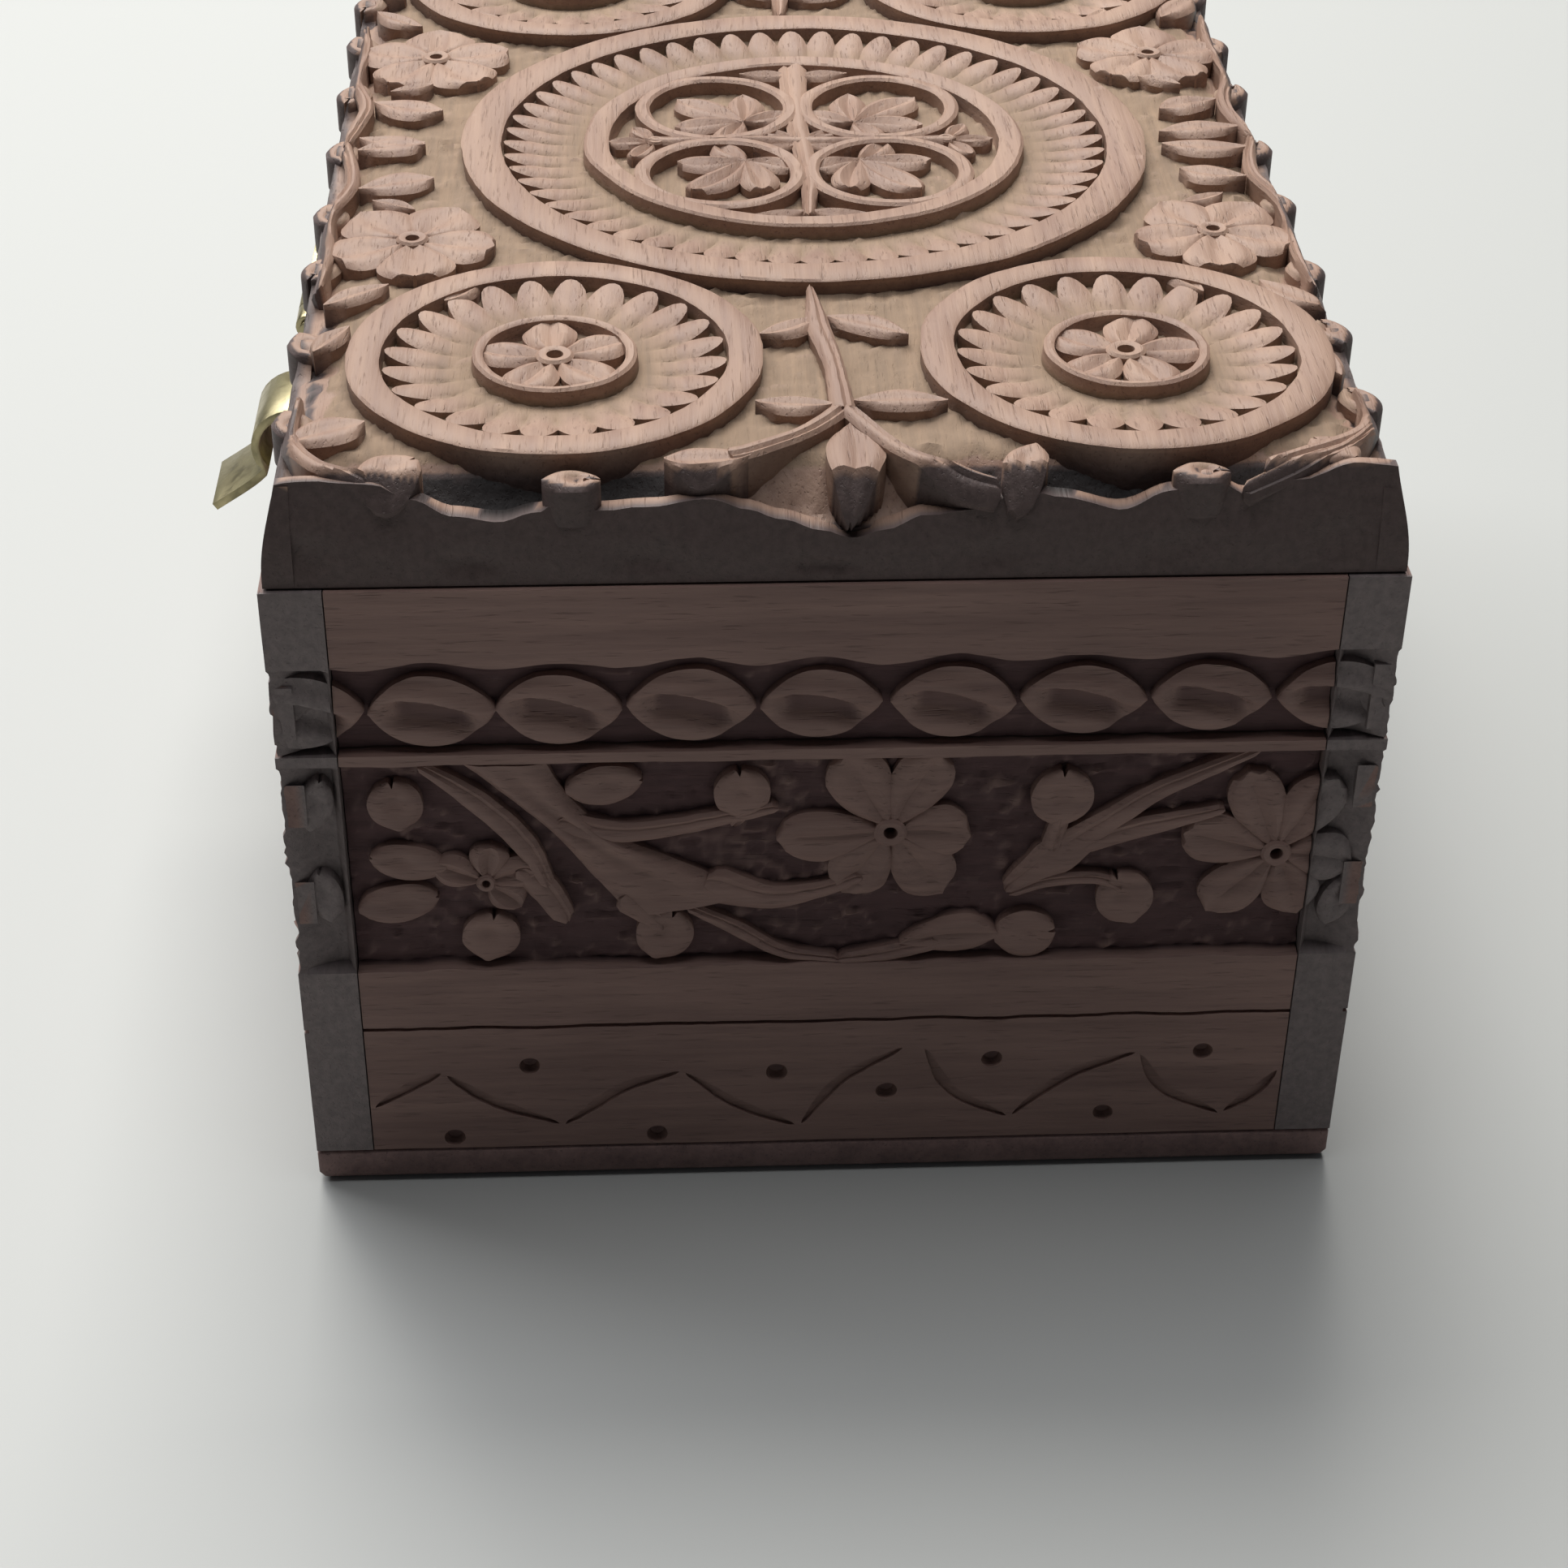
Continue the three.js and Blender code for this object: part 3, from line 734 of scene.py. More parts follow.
def make_walls(settings):
    """The tray's four walls by side, in (along, up, out) millimetres."""
    depth = settings.wall_depth / MM
    carvings = carved_sides(carve_band, depth - WALL_SHY, depth, settings.seed)
    boards = {}
    for side in QUARTERS:
        bm = carved_board(side, wall_rows, depth, settings.tool_marks / MM * 1.4, settings.step / MM * 0.8)
        cutter = scribed_cutter(side)
        if side == "back":
            add_bmesh(cutter, mortise_cutter("tray"))
        bm = cut_away(bm, cutter)
        if side == "front":
            matrix = Matrix.Translation((0, mix(PAD_LOW, BAND_HIGH, 0.5) + 0.5, -depth / 2 - 0.3))
            size = Matrix.Diagonal((2 * PAD_HALF, BAND_HIGH - PAD_LOW + 1, depth + 0.5, 1))
            bmesh.ops.create_cube(bm, size=1.0, matrix=matrix @ size)
        add_bmesh(bm, carvings[side])
        hand_cut(bm, board_half(side), TRAY_LOW, TRAY_HIGH, settings.wobble / MM)
        boards[side] = bm
    return boards


# ---------------------------------------------------------------- the lid's rails
EYE_HIGH = 76.3
EYE_PITCH = 14.7
EYE_MIDDLE = 70.5
EYE_SHIFT = -1.6


def rail_rows(along):
    """Rows up a rail: the sunk row of leaves from the seam up, and the flat band above it."""
    scallop = 0.45 * math.cos(TURN * (along - EYE_SHIFT) / EYE_PITCH)
    border = EYE_HIGH + scallop + 0.3 * ripple(along, 0, 41, 9)
    rows = [(z, GROUND) for z in spaced(RAIL_LOW, border, 16)]
    return rows + [(z, FLAT) for z in spaced(border + 0.35, RAIL_HIGH, 7)]


def carve_eyes(side, height, rng):
    """A side's row of leaves on its ground at z = 0."""
    carving = bmesh.new()
    motif = eye_leaf(height)
    count = round((side_half(side) - 4) / EYE_PITCH)
    for i in range(-count, count + 1):
        x = EYE_SHIFT + i * EYE_PITCH + rng.uniform(-0.3, 0.3)
        angle, size = rng.uniform(-3, 3), rng.uniform(0.97, 1.03)
        stamp(carving, motif, placed(x, EYE_MIDDLE + rng.uniform(-0.15, 0.15), angle, size))
    return within_side(carving, side)


def make_rails(settings):
    """The lid's four rails by side, in (along, up, out) millimetres."""
    depth = settings.rail_depth / MM
    carvings = carved_sides(carve_eyes, depth - RAIL_SHY, depth, settings.seed + 10)
    boards = {}
    for side in QUARTERS:
        bm = carved_board(side, rail_rows, depth, settings.tool_marks / MM * 0.7, settings.step / MM)
        if side == "back":
            bm = cut_away(bm, mortise_cutter("lid"))
        add_bmesh(bm, carvings[side])
        hand_cut(bm, board_half(side), RAIL_LOW, RAIL_HIGH, settings.wobble / MM)
        boards[side] = bm
    return boards


# ---------------------------------------------------------------- the lid's top
# Worked in (across, towards the left end, up) millimetres with the lid's top at 0.
BIG = {"outer": 45.0, "band": 39.8, "dish": 29.2, "rim": 25.6, "petals": 56, "tips": 3.4}
BIG_STRETCH = 0.96  # the big medallion is a little short of round
SMALL = {"outer": 24.0, "band": 20.0, "dish": 9.9, "rim": 8.2, "petals": 24, "tips": 3.6}
SMALL_PLACES = [(-31.2, -60.6), (34.8, -61), (-31.2, 60.8), (34.8, 60.6)]
DEEP = -8.0  # the ground at the foot of the rim on an end
SIDE_DEEP = -4.2  # the ground at the foot of the rim on a long side
RIM_FOOT = LID_FOOT - LID_TOP
RIM_THICK = 1.1
RIM_LEAN = 2.4  # how far the rim's face leans in from foot to top
LID_INSET = HALF_DEPTH - LID_HALF_DEPTH


def lid_ground(across, along, depth, marks):
    """Height of the lid's ground: level in the middle and falling away towards the rim."""
    rough = tool_marks(across, along, marks * 1.3) + 0.25 * ripple(across, along, 51, 11)
    to_side = mix(SIDE_DEEP, -depth, ease(LID_HALF_DEPTH - abs(across), 2.0, 9.0))
    to_end = mix(DEEP, -depth, ease(LID_HALF_LENGTH - abs(along), 2.0, 10.0))
    return min(to_side, to_end) + rough


def carve_lid_ground(settings):
    depth, marks = settings.lid_depth / MM, settings.tool_marks / MM
    step = 1.35 * settings.step / MM
    half_across, half_along = LID_HALF_DEPTH - 1.9, LID_HALF_LENGTH - 1.9
    bm = bmesh.new()
    columns, rows = round(2 * half_across / step), round(2 * half_along / step)
    bmesh.ops.create_grid(bm, x_segments=columns, y_segments=rows, size=1.0)
    for vert in bm.verts:
        across, along = vert.co.x * half_across, vert.co.y * half_along
        vert.co = (across, along, lid_ground(across, along, depth, marks))
    close_below(bm, RIM_FOOT + 0.02)
    return bm


KNOBS = (-29.0, 39.6)  # where the knobs of an end's rim stand
KNOB_LEVEL = -4.9  # the knobs' feet, below the lid's top
# The wavy top of the rim on an end, as (along, height above the box's foot).
RIM_WAVE = [
    (-63, 98.4), (-57, 98.9), (-50, 98.4), (-46, 96.8), (-41, 94.9), (-36, 94.2), (-32, 95.2), (-29, 97.4),
    (-26, 95.2), (-20, 95.6), (-14, 96.4), (-10, 95.2), (-6, 94.0), (-2, 92.8), (1.5, 91.8), (5, 92.8),
    (9, 94.2), (14, 94.8), (20, 96.8), (24, 96.0), (30, 94.6), (36, 96.6), (40, 98.2), (44, 96.0),
    (50, 97.6), (56, 99.3), (63, 98.8),
]


def long_wave(rng):
    """The wavy top of the rim on a long side: hanging arcs between knobs."""
    count = 10
    knots = [mix(-HALF_LENGTH, HALF_LENGTH, i / count) + rng.uniform(-2, 2) for i in range(count + 1)]
    wave = []
    for a, b in zip(knots, knots[1:]):
        sag = rng.uniform(94.4, 96.0)
        wave += [(a, rng.uniform(98.2, 99.4)), (mix(a, b, 0.25), mix(sag, 98.5, 0.4)), (mix(a, b, 0.5), sag)]
        wave.append((mix(a, b, 0.75), mix(sag, 98.5, 0.4)))
    return wave + [(knots[-1], 98.8)]


def wave_height(wave, along):
    """The height of a rim's top at a place along it, with smooth bends at the points given."""
    for (x0, z0), (x1, z1) in zip(wave, wave[1:]):
        if x0 <= along <= x1:
            return mix(z0, z1, ease(along, x0, x1)) - LID_TOP
    return wave[0][1] - LID_TOP


def carve_rim(side, wave):
    """The leaning outer face of the lid's board on a side, up to its wavy top, in (along, up, out)."""
    half = side_half(side) - LID_INSET

    def inset(level):
        return RIM_LEAN * ease(level, RIM_FOOT, 2.0) ** 1.3

    def place(s, t):
        along = s * (half - inset(mix(RIM_FOOT, 0.0, (t + 1) / 2)))
        level = mix(RIM_FOOT, wave_height(wave, along), (t + 1) / 2)
        lean = inset(level)
        leafy = math.cos(TURN * along / 19 + 0.6) * ease(t, -0.9, -0.45) * (1 - ease(t, -0.3, 0.1))
        flute = 0.35 * abs(ripple(along, level * 0.25, 68, 2.6))
        rough = 0.25 * ripple(along, level, 66, 4) + 0.1 * ripple(along, level, 67, 1.3)
        gouge = 0.6 * max(0.0, leafy) + flute + rough
        flat = min(ease(level, RIM_FOOT, RIM_FOOT + 1.5), 1 - ease(abs(s), 0.985, 1.0))
        return Vector((s * (half - lean), level, -LID_INSET - lean - max(0.0, gouge) * flat))

    return shell(round(2 * half / 1.0), 13, place, -LID_INSET - RIM_LEAN - RIM_THICK)


def carve_rims(rng, knob):
    """The four leaning faces with knobs on their tops, in the lid's own millimetres."""
    rims = bmesh.new()
    for side in QUARTERS:
        wave = long_wave(rng) if side in LONG_SIDES else RIM_WAVE
        if side == "left":
            wave = [(-x, z) for x, z in reversed(RIM_WAVE)]
        matrix = lid_matrix().inverted() @ side_matrix(side, LID_TOP)
        add_bmesh(rims, carve_rim(side, wave), matrix)
        spots = KNOBS
        if side in LONG_SIDES:
            spots = [x for x, z in wave if z > 98.1 and abs(x) < side_half(side) - 6]
        sign = -1 if side == "left" else 1
        for x in spots:
            place = Matrix.Translation((sign * x, KNOB_LEVEL, -LID_INSET - RIM_LEAN - 0.4))
            face_up = Matrix.Rotation(-math.pi / 2, 4, "X")
            stamp(rims, knob, matrix @ place @ face_up @ placed(0, 0, rng.uniform(-25, 25)))
    return rims


def lobed_leaf(height):
    """A leaf of five round lobes with gouged hollows, from its stalk at the origin."""
    bm = bmesh.new()
    sizes = [(0, 11.4, 5.6), (50, 9.0, 5.0), (-50, 9.0, 5.0), (108, 6.4, 4.4), (-108, 6.4, 4.4)]
    for angle, length, width in sizes:
        lobe = leaf(length, width, height, 0.66, 0.4, point=ROUND_TIP)
        stamp(bm, lobe, Matrix.Rotation(math.radians(angle), 4, "Z"))
        bpy.data.meshes.remove(lobe)
    return kept(bm, "lobed_leaf")


CROSS = [
    ([(0, -23.5), (0.4, -12), (0, 0), (-0.3, 12), (0, 25.8)], [1.4, 2.6, 2.8, 3.2, 4.0]),
    ([(-20.5, 0.2), (-9, 0.4), (0, 0), (9, -0.3), (20.5, 0)], [2.2, 1.8, 2.4, 1.8, 2.2]),
]


def carve_middle(carving, height):
    """The four scrolls, their lobed leaves and the cross inside the big medallion."""
    loop = ring(10.0, 2.0, height)
    lobed = lobed_leaf(height * 0.96)
    tip = leaf(8.0, 3.8, height * 0.95, belly=0.45)
    spray = blossom([(-58, 5.6), (0, 6.2), (58, 5.6)], 3.2, height * 0.95, 0.5)
    for right in (-1, 1):
        for up in (-1, 1):
            mirror = Matrix.Diagonal((right, up, 1, 1))
            stamp(carving, loop, placed(10.9 * right, 10.4 * up))
            stamp(carving, lobed, mirror @ placed(7.4, 6.2, angle=46 - 5 * up, size=1.02))
            stamp(carving, tip, mirror @ placed(0.3, 21.8, angle=8, size=0.9))
            stamp(carving, tip, mirror @ placed(0.8, 1.4, angle=12, size=0.72))
        stamp(carving, spray, Matrix.Diagonal((right, 1, 1, 1)) @ placed(19.2, 0.0))
    for points, widths in CROSS:
        stamp(carving, stem(points, widths, height))


def edge_motifs(height):
    """The lid's free motifs by name, with feet that reach the deepest ground."""
    return {
        "flower": blossom(even_petals(5, 10.4, 56), 9.6, height, 0.9, DEEP, 0.66),
        "leaf": leaf(10.5, 5.2, height * 0.97, 0.5, 0.2, DEEP),
        "round_leaf": leaf(10.0, 6.6, height * 0.97, 0.62, 0.25, DEEP),
        "bud": bud(8.0, 4.8, height * 0.96, DEEP, 0.0),
        "knot": bud(7.4, 6.8, height * 0.95, DEEP),
        "rib": leaf(15.5, 7.4, height * 0.8, 0.42, 0.35, DEEP),
    }


# The free carving of the lid's half at the right end, as (motif, across, along, angle, size).
LID_MOTIFS = [
    ("flower", -49.3, -29.3, 0, 1.0), ("flower", 50.0, -29.0, 70, 0.96),
    ("leaf", -0.4, -51.6, 206, 0.8), ("leaf", 0.6, -51.6, -27, 0.98), ("leaf", 0.2, -73.2, 178, 0.84),
    ("leaf", 2.6, -72.4, -6, 1.0), ("round_leaf", -9.6, -84.6, 182, 0.92), ("rib", 1.8, -77.0, -89, 0.9),
    ("bud", 20.4, -86.6, 62, 1.0), ("round_leaf", -60.4, -80.4, 24, 0.95), ("knot", -48.6, -86.4, 35, 0.94),
    ("knot", 54.5, -84.6, 130, 0.8), ("leaf", -59.0, -59.0, 55, 0.7), ("leaf", -58.8, -47.0, 40, 0.86),
    ("leaf", 60.2, -50.4, 128, 0.95), ("leaf", 58.6, -68.0, 96, 0.8), ("round_leaf", -57.0, -14.0, 20, 1.0),
    ("round_leaf", -58.0, -2.0, 14, 0.9), ("leaf", -55.0, -17.6, -28, 0.6), ("leaf", 58.6, -3.4, 172, 1.05),
    ("round_leaf", 57.0, -12.6, 160, 0.86), ("leaf", 53.0, -17.8, 205, 0.6), ("leaf", 42.0, -40.0, -52, 0.7),
    ("leaf", -40.5, -41.5, 230, 0.6),
]
LID_STEMS = [
    ([(-1.0, -43.8), (-0.6, -53), (0.8, -64), (1.2, -74.6)], [0.9, 2.8, 2.4, 3.2]),
    ([(1.0, -74.2), (-3.5, -79.6), (-9.5, -83.4), (-12, -84.4)], [2.8, 2.4, 2.8, 2.8]),
    ([(1.6, -74.2), (4.6, -80), (8.2, -85), (12.5, -88), (17.5, -89)], [2.8, 2.2, 2.2, 2.4, 2.0]),
    ([(-59.8, -70), (-60, -79), (-56.5, -85.4), (-51, -88)], [1.4, 2.0, 2.4, 2.0]),
    ([(59.8, -71), (60.0, -78), (56, -83), (46.5, -88)], [1.4, 2.2, 2.6, 2.0]),
    ([(59.6, -80), (54, -86), (44, -89.2)], [1.4, 1.8, 1.4]),
    ([(-60.2, -42), (-59.6, -33), (-60, -22), (-58, -12), (-59.8, 0.2)], [1.4, 2.0, 1.8, 2.0, 1.6]),
    ([(60.2, -44), (59.6, -34), (60.2, -22), (58, -11), (59.8, 0.2)], [1.4, 2.0, 1.8, 2.0, 1.6]),
]


def carve_lid(settings):
    """The lid's top board."""
    depth = settings.lid_depth / MM
    height = depth - LID_SHY
    rng = random.Random(settings.seed + 20)
    bm = carve_lid_ground(settings)
    carving = bmesh.new()
    stamp(carving, medallion(height=height, foot=-3.0, **BIG), placed(0.4, 0.3, stretch=BIG_STRETCH))
    carve_middle(carving, height * 0.97)
    small = medallion(height=height, foot=DEEP, **SMALL)
    bloom = blossom(even_petals(5, 8.9, 16), 6.4, height * 0.94, 1.0)
    for x, y in SMALL_PLACES:
        stamp(carving, small, placed(x, y, angle=rng.uniform(0, 15)))
        stamp(carving, bloom, placed(x, y, angle=rng.uniform(-20, 20)))
    motifs = edge_motifs(height * 0.97)
    for flip in (1, -1):
        mirror = Matrix.Diagonal((1, flip, 1, 1))
        for name, x, y, angle, size in LID_MOTIFS:
            stamp(carving, motifs[name], mirror @ placed(x, y, angle + rng.uniform(-5, 5), size))
        for points, widths in LID_STEMS:
            stamp(carving, stem([(x, y * flip) for x, y in points], widths, height * 0.96, DEEP))
    bmesh.ops.translate(carving, vec=(0, 0, -depth), verts=carving.verts[:])
    for vert in carving.verts:
        drape(vert.co, depth)
    add_bmesh(carving, carve_rims(rng, bud(6.4, 4.6, 3.9, -1.5, 0.3)))
    add_bmesh(bm, carving)
    for vert in bm.verts:
        x, y, z = vert.co
        edge = min(LID_HALF_DEPTH - abs(x), LID_HALF_LENGTH - abs(y))
        amount = settings.wobble / MM * ease(edge, 0.5, 3.5)
        vert.co.x += amount * stray(x, y, 61, 9, 0.3)
        vert.co.y += amount * stray(x, y, 63, 9, 0.3)
        vert.co.z = min(z, -0.02)
        keep_in(vert.co)
    return bm


def drape(spot, depth):
    """Bends a motif down where it passes over the rim, and draws its foot in to stay inside the rim."""
    for i, half in ((0, LID_HALF_DEPTH), (1, LID_HALF_LENGTH)):
        if spot.z < -depth - 0.4:
            spot[i] = math.copysign(min(abs(spot[i]), half - 4.3), spot[i])
        else:
            spot.z -= 1.3 * max(0.0, abs(spot[i]) - (half - 3.4))


def keep_in(spot):
    """Keeps a point of the lid's board within the board's outline."""
    spot.x = min(LID_HALF_DEPTH, max(-LID_HALF_DEPTH, spot.x))
    spot.y = min(LID_HALF_LENGTH, max(-LID_HALF_LENGTH, spot.y))


# ---------------------------------------------------------------- pieces
def finish_piece(name, bm, material, body, slot, nodes, sharp=32.0, matrix=None, shade=None):
    """Turns a bmesh in millimetres into a piece of the box that stands for the nodes given.

    shade(point, normal) gives the wood's colour: 0 for the face, up to 1 for the ground, which is painted
    shade on the walls, -1 for end grain with a painted grey reflection and for painted shade on the lid's rim
    and steep faces, and -2 for painted shadow in the deepest hollows."""
    bmesh.ops.recalc_face_normals(bm, faces=bm.faces[:])
    shades = None
    if shade is not None:
        bm.normal_update()
        shades = [shade(vert.co, vert.normal) for vert in bm.verts]
    if matrix is not None:
        bmesh.ops.transform(bm, matrix=matrix, verts=bm.verts[:])
    bmesh.ops.scale(bm, vec=(MM, MM, MM), verts=bm.verts[:])
    for face in bm.faces:
        face.smooth = True
    mesh = mesh_of(bm, name)
    mesh.set_sharp_from_angle(angle=math.radians(sharp))
    if shades is not None:
        mesh.attributes.new("carved", "FLOAT", "POINT").data.foreach_set("value", shades)
    piece = add_object(name, mesh)
    mesh.materials.append(material)
    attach(piece, body)
    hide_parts(*nodes)
    return piece


def board_shade(depth, half):
    """The colour of a board on a side: its ground takes painted shade, darker where deeper, and the ends of a
    long board show end grain with a painted grey reflection.
    """
    def shade(spot, normal):
        # End grain colour, with a painted grey reflection, on the ends of a long board.
        at_end = half > HALF_DEPTH and abs(spot.x) > half - depth - 1.2
        if at_end and (spot.z < -0.9 or abs(normal.x) > 0.55):
            return -1.0
        # The ground's share of the colour: on the walls and rails this is painted shade, darker the deeper
        # the ground.
        return min(1.0, max(0.0, -spot.z / depth)) if spot.z > -depth - 1 else 0.0

    return shade


def lid_shade(depth):
    """The colour of the lid's board: a pale bare ground, painted shade on steep faces and on the rim's outer
    face, and painted shadow in the deep hollows, strongest between the rim and the small medallions."""
    def shade(spot, normal):
        edge = min(LID_HALF_DEPTH - abs(spot.x), LID_HALF_LENGTH - abs(spot.y))
        outward = max(math.copysign(normal[i], normal[i] * spot[i]) for i in (0, 1))
        # Painted shade on the rim's outer face.
        if edge < 3.2 and outward > 0.4:
            return -ease(-spot.z, 0.4, 1.0)
        # Painted shade on the steep side walls of the motifs.
        steep_shade = 0.7 * (1 - ease(normal.z, 0.1, 0.5)) * ease(-spot.z, 0.4, 1.2)
        if edge < 3.5:
            return -steep_shade
        ground = min(1.0, max(0.0, -spot.z / depth))
        # Painted shadow: deep ground is darkened, most within a few millimetres of the small medallions.
        beyond = min(math.hypot(spot.x - x, spot.y - y) for x, y in SMALL_PLACES) - SMALL["outer"]
        hollow = ease(-spot.z, depth + 0.2, depth + 1.7) * mix(1.0, 0.3, ease(beyond, 5.0, 10.0))
        return mix(mix(ground, -1.0, steep_shade), -2.0, hollow)

    return shade


# ---------------------------------------------------------------- materials
class Shader:
    """A material's node tree, with one short call for each node."""

    def __init__(self, name):
        self.material = bpy.data.materials.new(name)
        self.material.use_nodes = True
        self.tree = self.material.node_tree
        self.surface = self.tree.nodes["Principled BSDF"]

    def add(self, kind, inputs=None, **options):
        made = self.tree.nodes.new(kind)
        for option, value in options.items():
            setattr(made, option, value)
        for key, value in (inputs or {}).items():
            if isinstance(value, bpy.types.NodeSocket):
                self.tree.links.new(value, made.inputs[key])
            else:
                made.inputs[key].default_value = value
        return made

    def link(self, key, socket):
        self.tree.links.new(socket, self.surface.inputs[key])

    def set(self, values):
        for key, value in values.items():
            self.surface.inputs[key].default_value = value

    def coordinates(self, scale):
        spots = self.add("ShaderNodeTexCoord").outputs["Object"]
        return self.add("ShaderNodeMapping", {"Vector": spots, "Scale": scale}).outputs["Vector"]

    def noise(self, scale, detail=4.0, roughness=0.55, distortion=0.0):
        inputs = {
            "Vector": self.coordinates(scale), "Scale": 1.0, "Detail": detail, "Roughness": roughness,
            "Distortion": distortion,
        }
        return self.add("ShaderNodeTexNoise", inputs).outputs["Fac"]

    def span(self, value, low, high, to_low=0.0, to_high=1.0):
        inputs = {"Value": value, "From Min": low, "From Max": high, "To Min": to_low, "To Max": to_high}
        return self.add("ShaderNodeMapRange", inputs).outputs["Result"]

    def blend(self, share, a, b):
        made = self.add("ShaderNodeMix", {0: share}, data_type="RGBA")
        for socket, value in ((made.inputs[6], a), (made.inputs[7], b)):
            if isinstance(value, bpy.types.NodeSocket):
                self.tree.links.new(value, socket)
            else:
                socket.default_value = (*value, 1.0)
        return made.outputs[2]

    def maths(self, how, a, b):
        return self.add("ShaderNodeMath", {0: a, 1: b}, operation=how).outputs["Value"]

    def bump(self, height, distance):
        inputs = {"Height": height, "Distance": distance, "Strength": 1.0}
        return self.add("ShaderNodeBump", inputs).outputs["Normal"]


def dimmed(colour, share):
    return tuple(channel * share for channel in colour)


def grain_scale(axis, across, along):
    """A coordinate scale with features across metres wide and along metres long on one axis."""
    scale = [1 / across] * 3
    scale["XYZ".index(axis)] = 1 / along
    return tuple(scale)


PAINTED_SHADOW = (0.022, 0.016, 0.015)  # painted shadow in the darkest hollows


def wood(name, axis, light, dark, ground=None, gloss=0.58, other=None):
    """Oiled hardwood with its grain along an axis.

    Carved-away wood shows the ground's colour, which on the walls is painted shade. The other colour shows on
    end grain, with a painted grey reflection, and as painted shade on the lid's rim and steep faces. The
    deepest hollows take a painted shadow."""
    shader = Shader(name)
    figure = shader.noise(grain_scale(axis, 0.006, 0.09), 3.0, 0.5, 0.6)
    streaks = shader.noise(grain_scale(axis, 0.0011, 0.022), 5.0, 0.62, 0.2)
    pores = shader.noise(grain_scale(axis, 0.00035, 0.0045), 2.0, 0.5)
    patches = shader.noise((28, 28, 28), 3.0, 0.55)
    tone = shader.maths("ADD", shader.maths("MULTIPLY", figure, 0.5), shader.maths("MULTIPLY", streaks, 0.5))
    colour = shader.blend(shader.span(tone, 0.36, 0.64), dark, light)
    colour = shader.blend(shader.span(patches, 0.35, 0.75, 0.0, 0.35), colour, dimmed(dark, 0.62))
    pore_share = shader.span(pores, 0.60, 0.74, 0.0, 0.34)
    colour = shader.blend(pore_share, colour, dimmed(dark, 0.35))
    if ground is not None:
        depth = shader.add("ShaderNodeAttribute", attribute_name="carved").outputs["Fac"]
        # The other colour: painted shade on the lid, end grain with a painted grey reflection on the sides.
        grain_and_painted_shade = shader.blend(shader.span(streaks, 0.35, 0.65), dimmed(other, 0.72), other)
        colour = shader.blend(shader.span(depth, -0.25, -0.85), colour, grain_and_painted_shade)
        # Painted shadow in the deepest hollows.
        colour = shader.blend(shader.span(depth, -1.05, -1.8), colour, PAINTED_SHADOW)
        uneven = shader.maths("MULTIPLY", shader.maths("SUBTRACT", patches, 0.5), 0.3)
        edge = shader.maths("ADD", depth, uneven)
        bare = shader.blend(shader.span(streaks, 0.3, 0.7), dimmed(ground, 0.7), ground)
        colour = shader.blend(shader.span(edge, 0.5, 0.82), colour, bare)
        gloss_share = shader.span(edge, 0.5, 0.85, gloss, gloss + 0.3)
    else:
        gloss_share = shader.span(patches, 0.3, 0.7, gloss, gloss + 0.1)
    shader.link("Base Color", colour)
    shader.link("Roughness", shader.maths("ADD", gloss_share, shader.span(streaks, 0.3, 0.7, -0.05, 0.07)))
    shader.link("Normal", shader.bump(shader.maths("SUBTRACT", streaks, pore_share), 0.00016))
    shader.set({"Specular IOR Level": 0.35})
    return shader.material


def brass_finish(settings):
    shader = Shader("aged_brass")
    cloud = shader.noise((260, 260, 260), 5.0, 0.6)
    scratch = shader.noise((2600, 240, 900), 3.0, 0.6)
    share = shader.span(cloud, 0.42, 0.68, 0.0, 0.85)
    shader.link("Base Color", shader.blend(share, settings.brass, settings.patina))
    shader.link("Roughness", shader.span(cloud, 0.35, 0.7, 0.28, 0.55))
    shader.link("Normal", shader.bump(scratch, 0.00003))
    shader.set({"Metallic": 1.0})
    return shader.material


def steel_finish(settings):
    shader = Shader("dark_steel")
    cloud = shader.noise((500, 500, 500), 3.0, 0.6)
    shader.link("Base Color", shader.blend(cloud, settings.steel, dimmed(settings.steel, 0.4)))
    shader.link("Roughness", shader.span(cloud, 0.3, 0.7, 0.35, 0.6))
    shader.set({"Metallic": 1.0})
    return shader.material


def velvet_finish(settings):
    shader = Shader("red_velvet")
    pile = shader.noise((4200, 4200, 4200), 2.0, 0.6)
    nap = shader.noise((70, 70, 70), 3.0, 0.5)
    red = settings.velvet
    colour = shader.blend(shader.span(nap, 0.35, 0.65), dimmed(red, 0.55), red)
    colour = shader.blend(shader.span(pile, 0.3, 0.7, 0.0, 0.5), colour, dimmed(red, 0.3))
    shader.link("Base Color", colour)
    shader.link("Normal", shader.bump(pile, 0.0004))
    sheen = {"Sheen Weight": 0.7, "Sheen Roughness": 0.35, "Sheen Tint": (0.9, 0.25, 0.3, 1)}
    shader.set({"Roughness": 0.95, **sheen})
    return shader.material


TRIM_FINISHES = {"brass": brass_finish, "steel": steel_finish, "velvet": velvet_finish}
MADE = {}  # materials made so far, by name


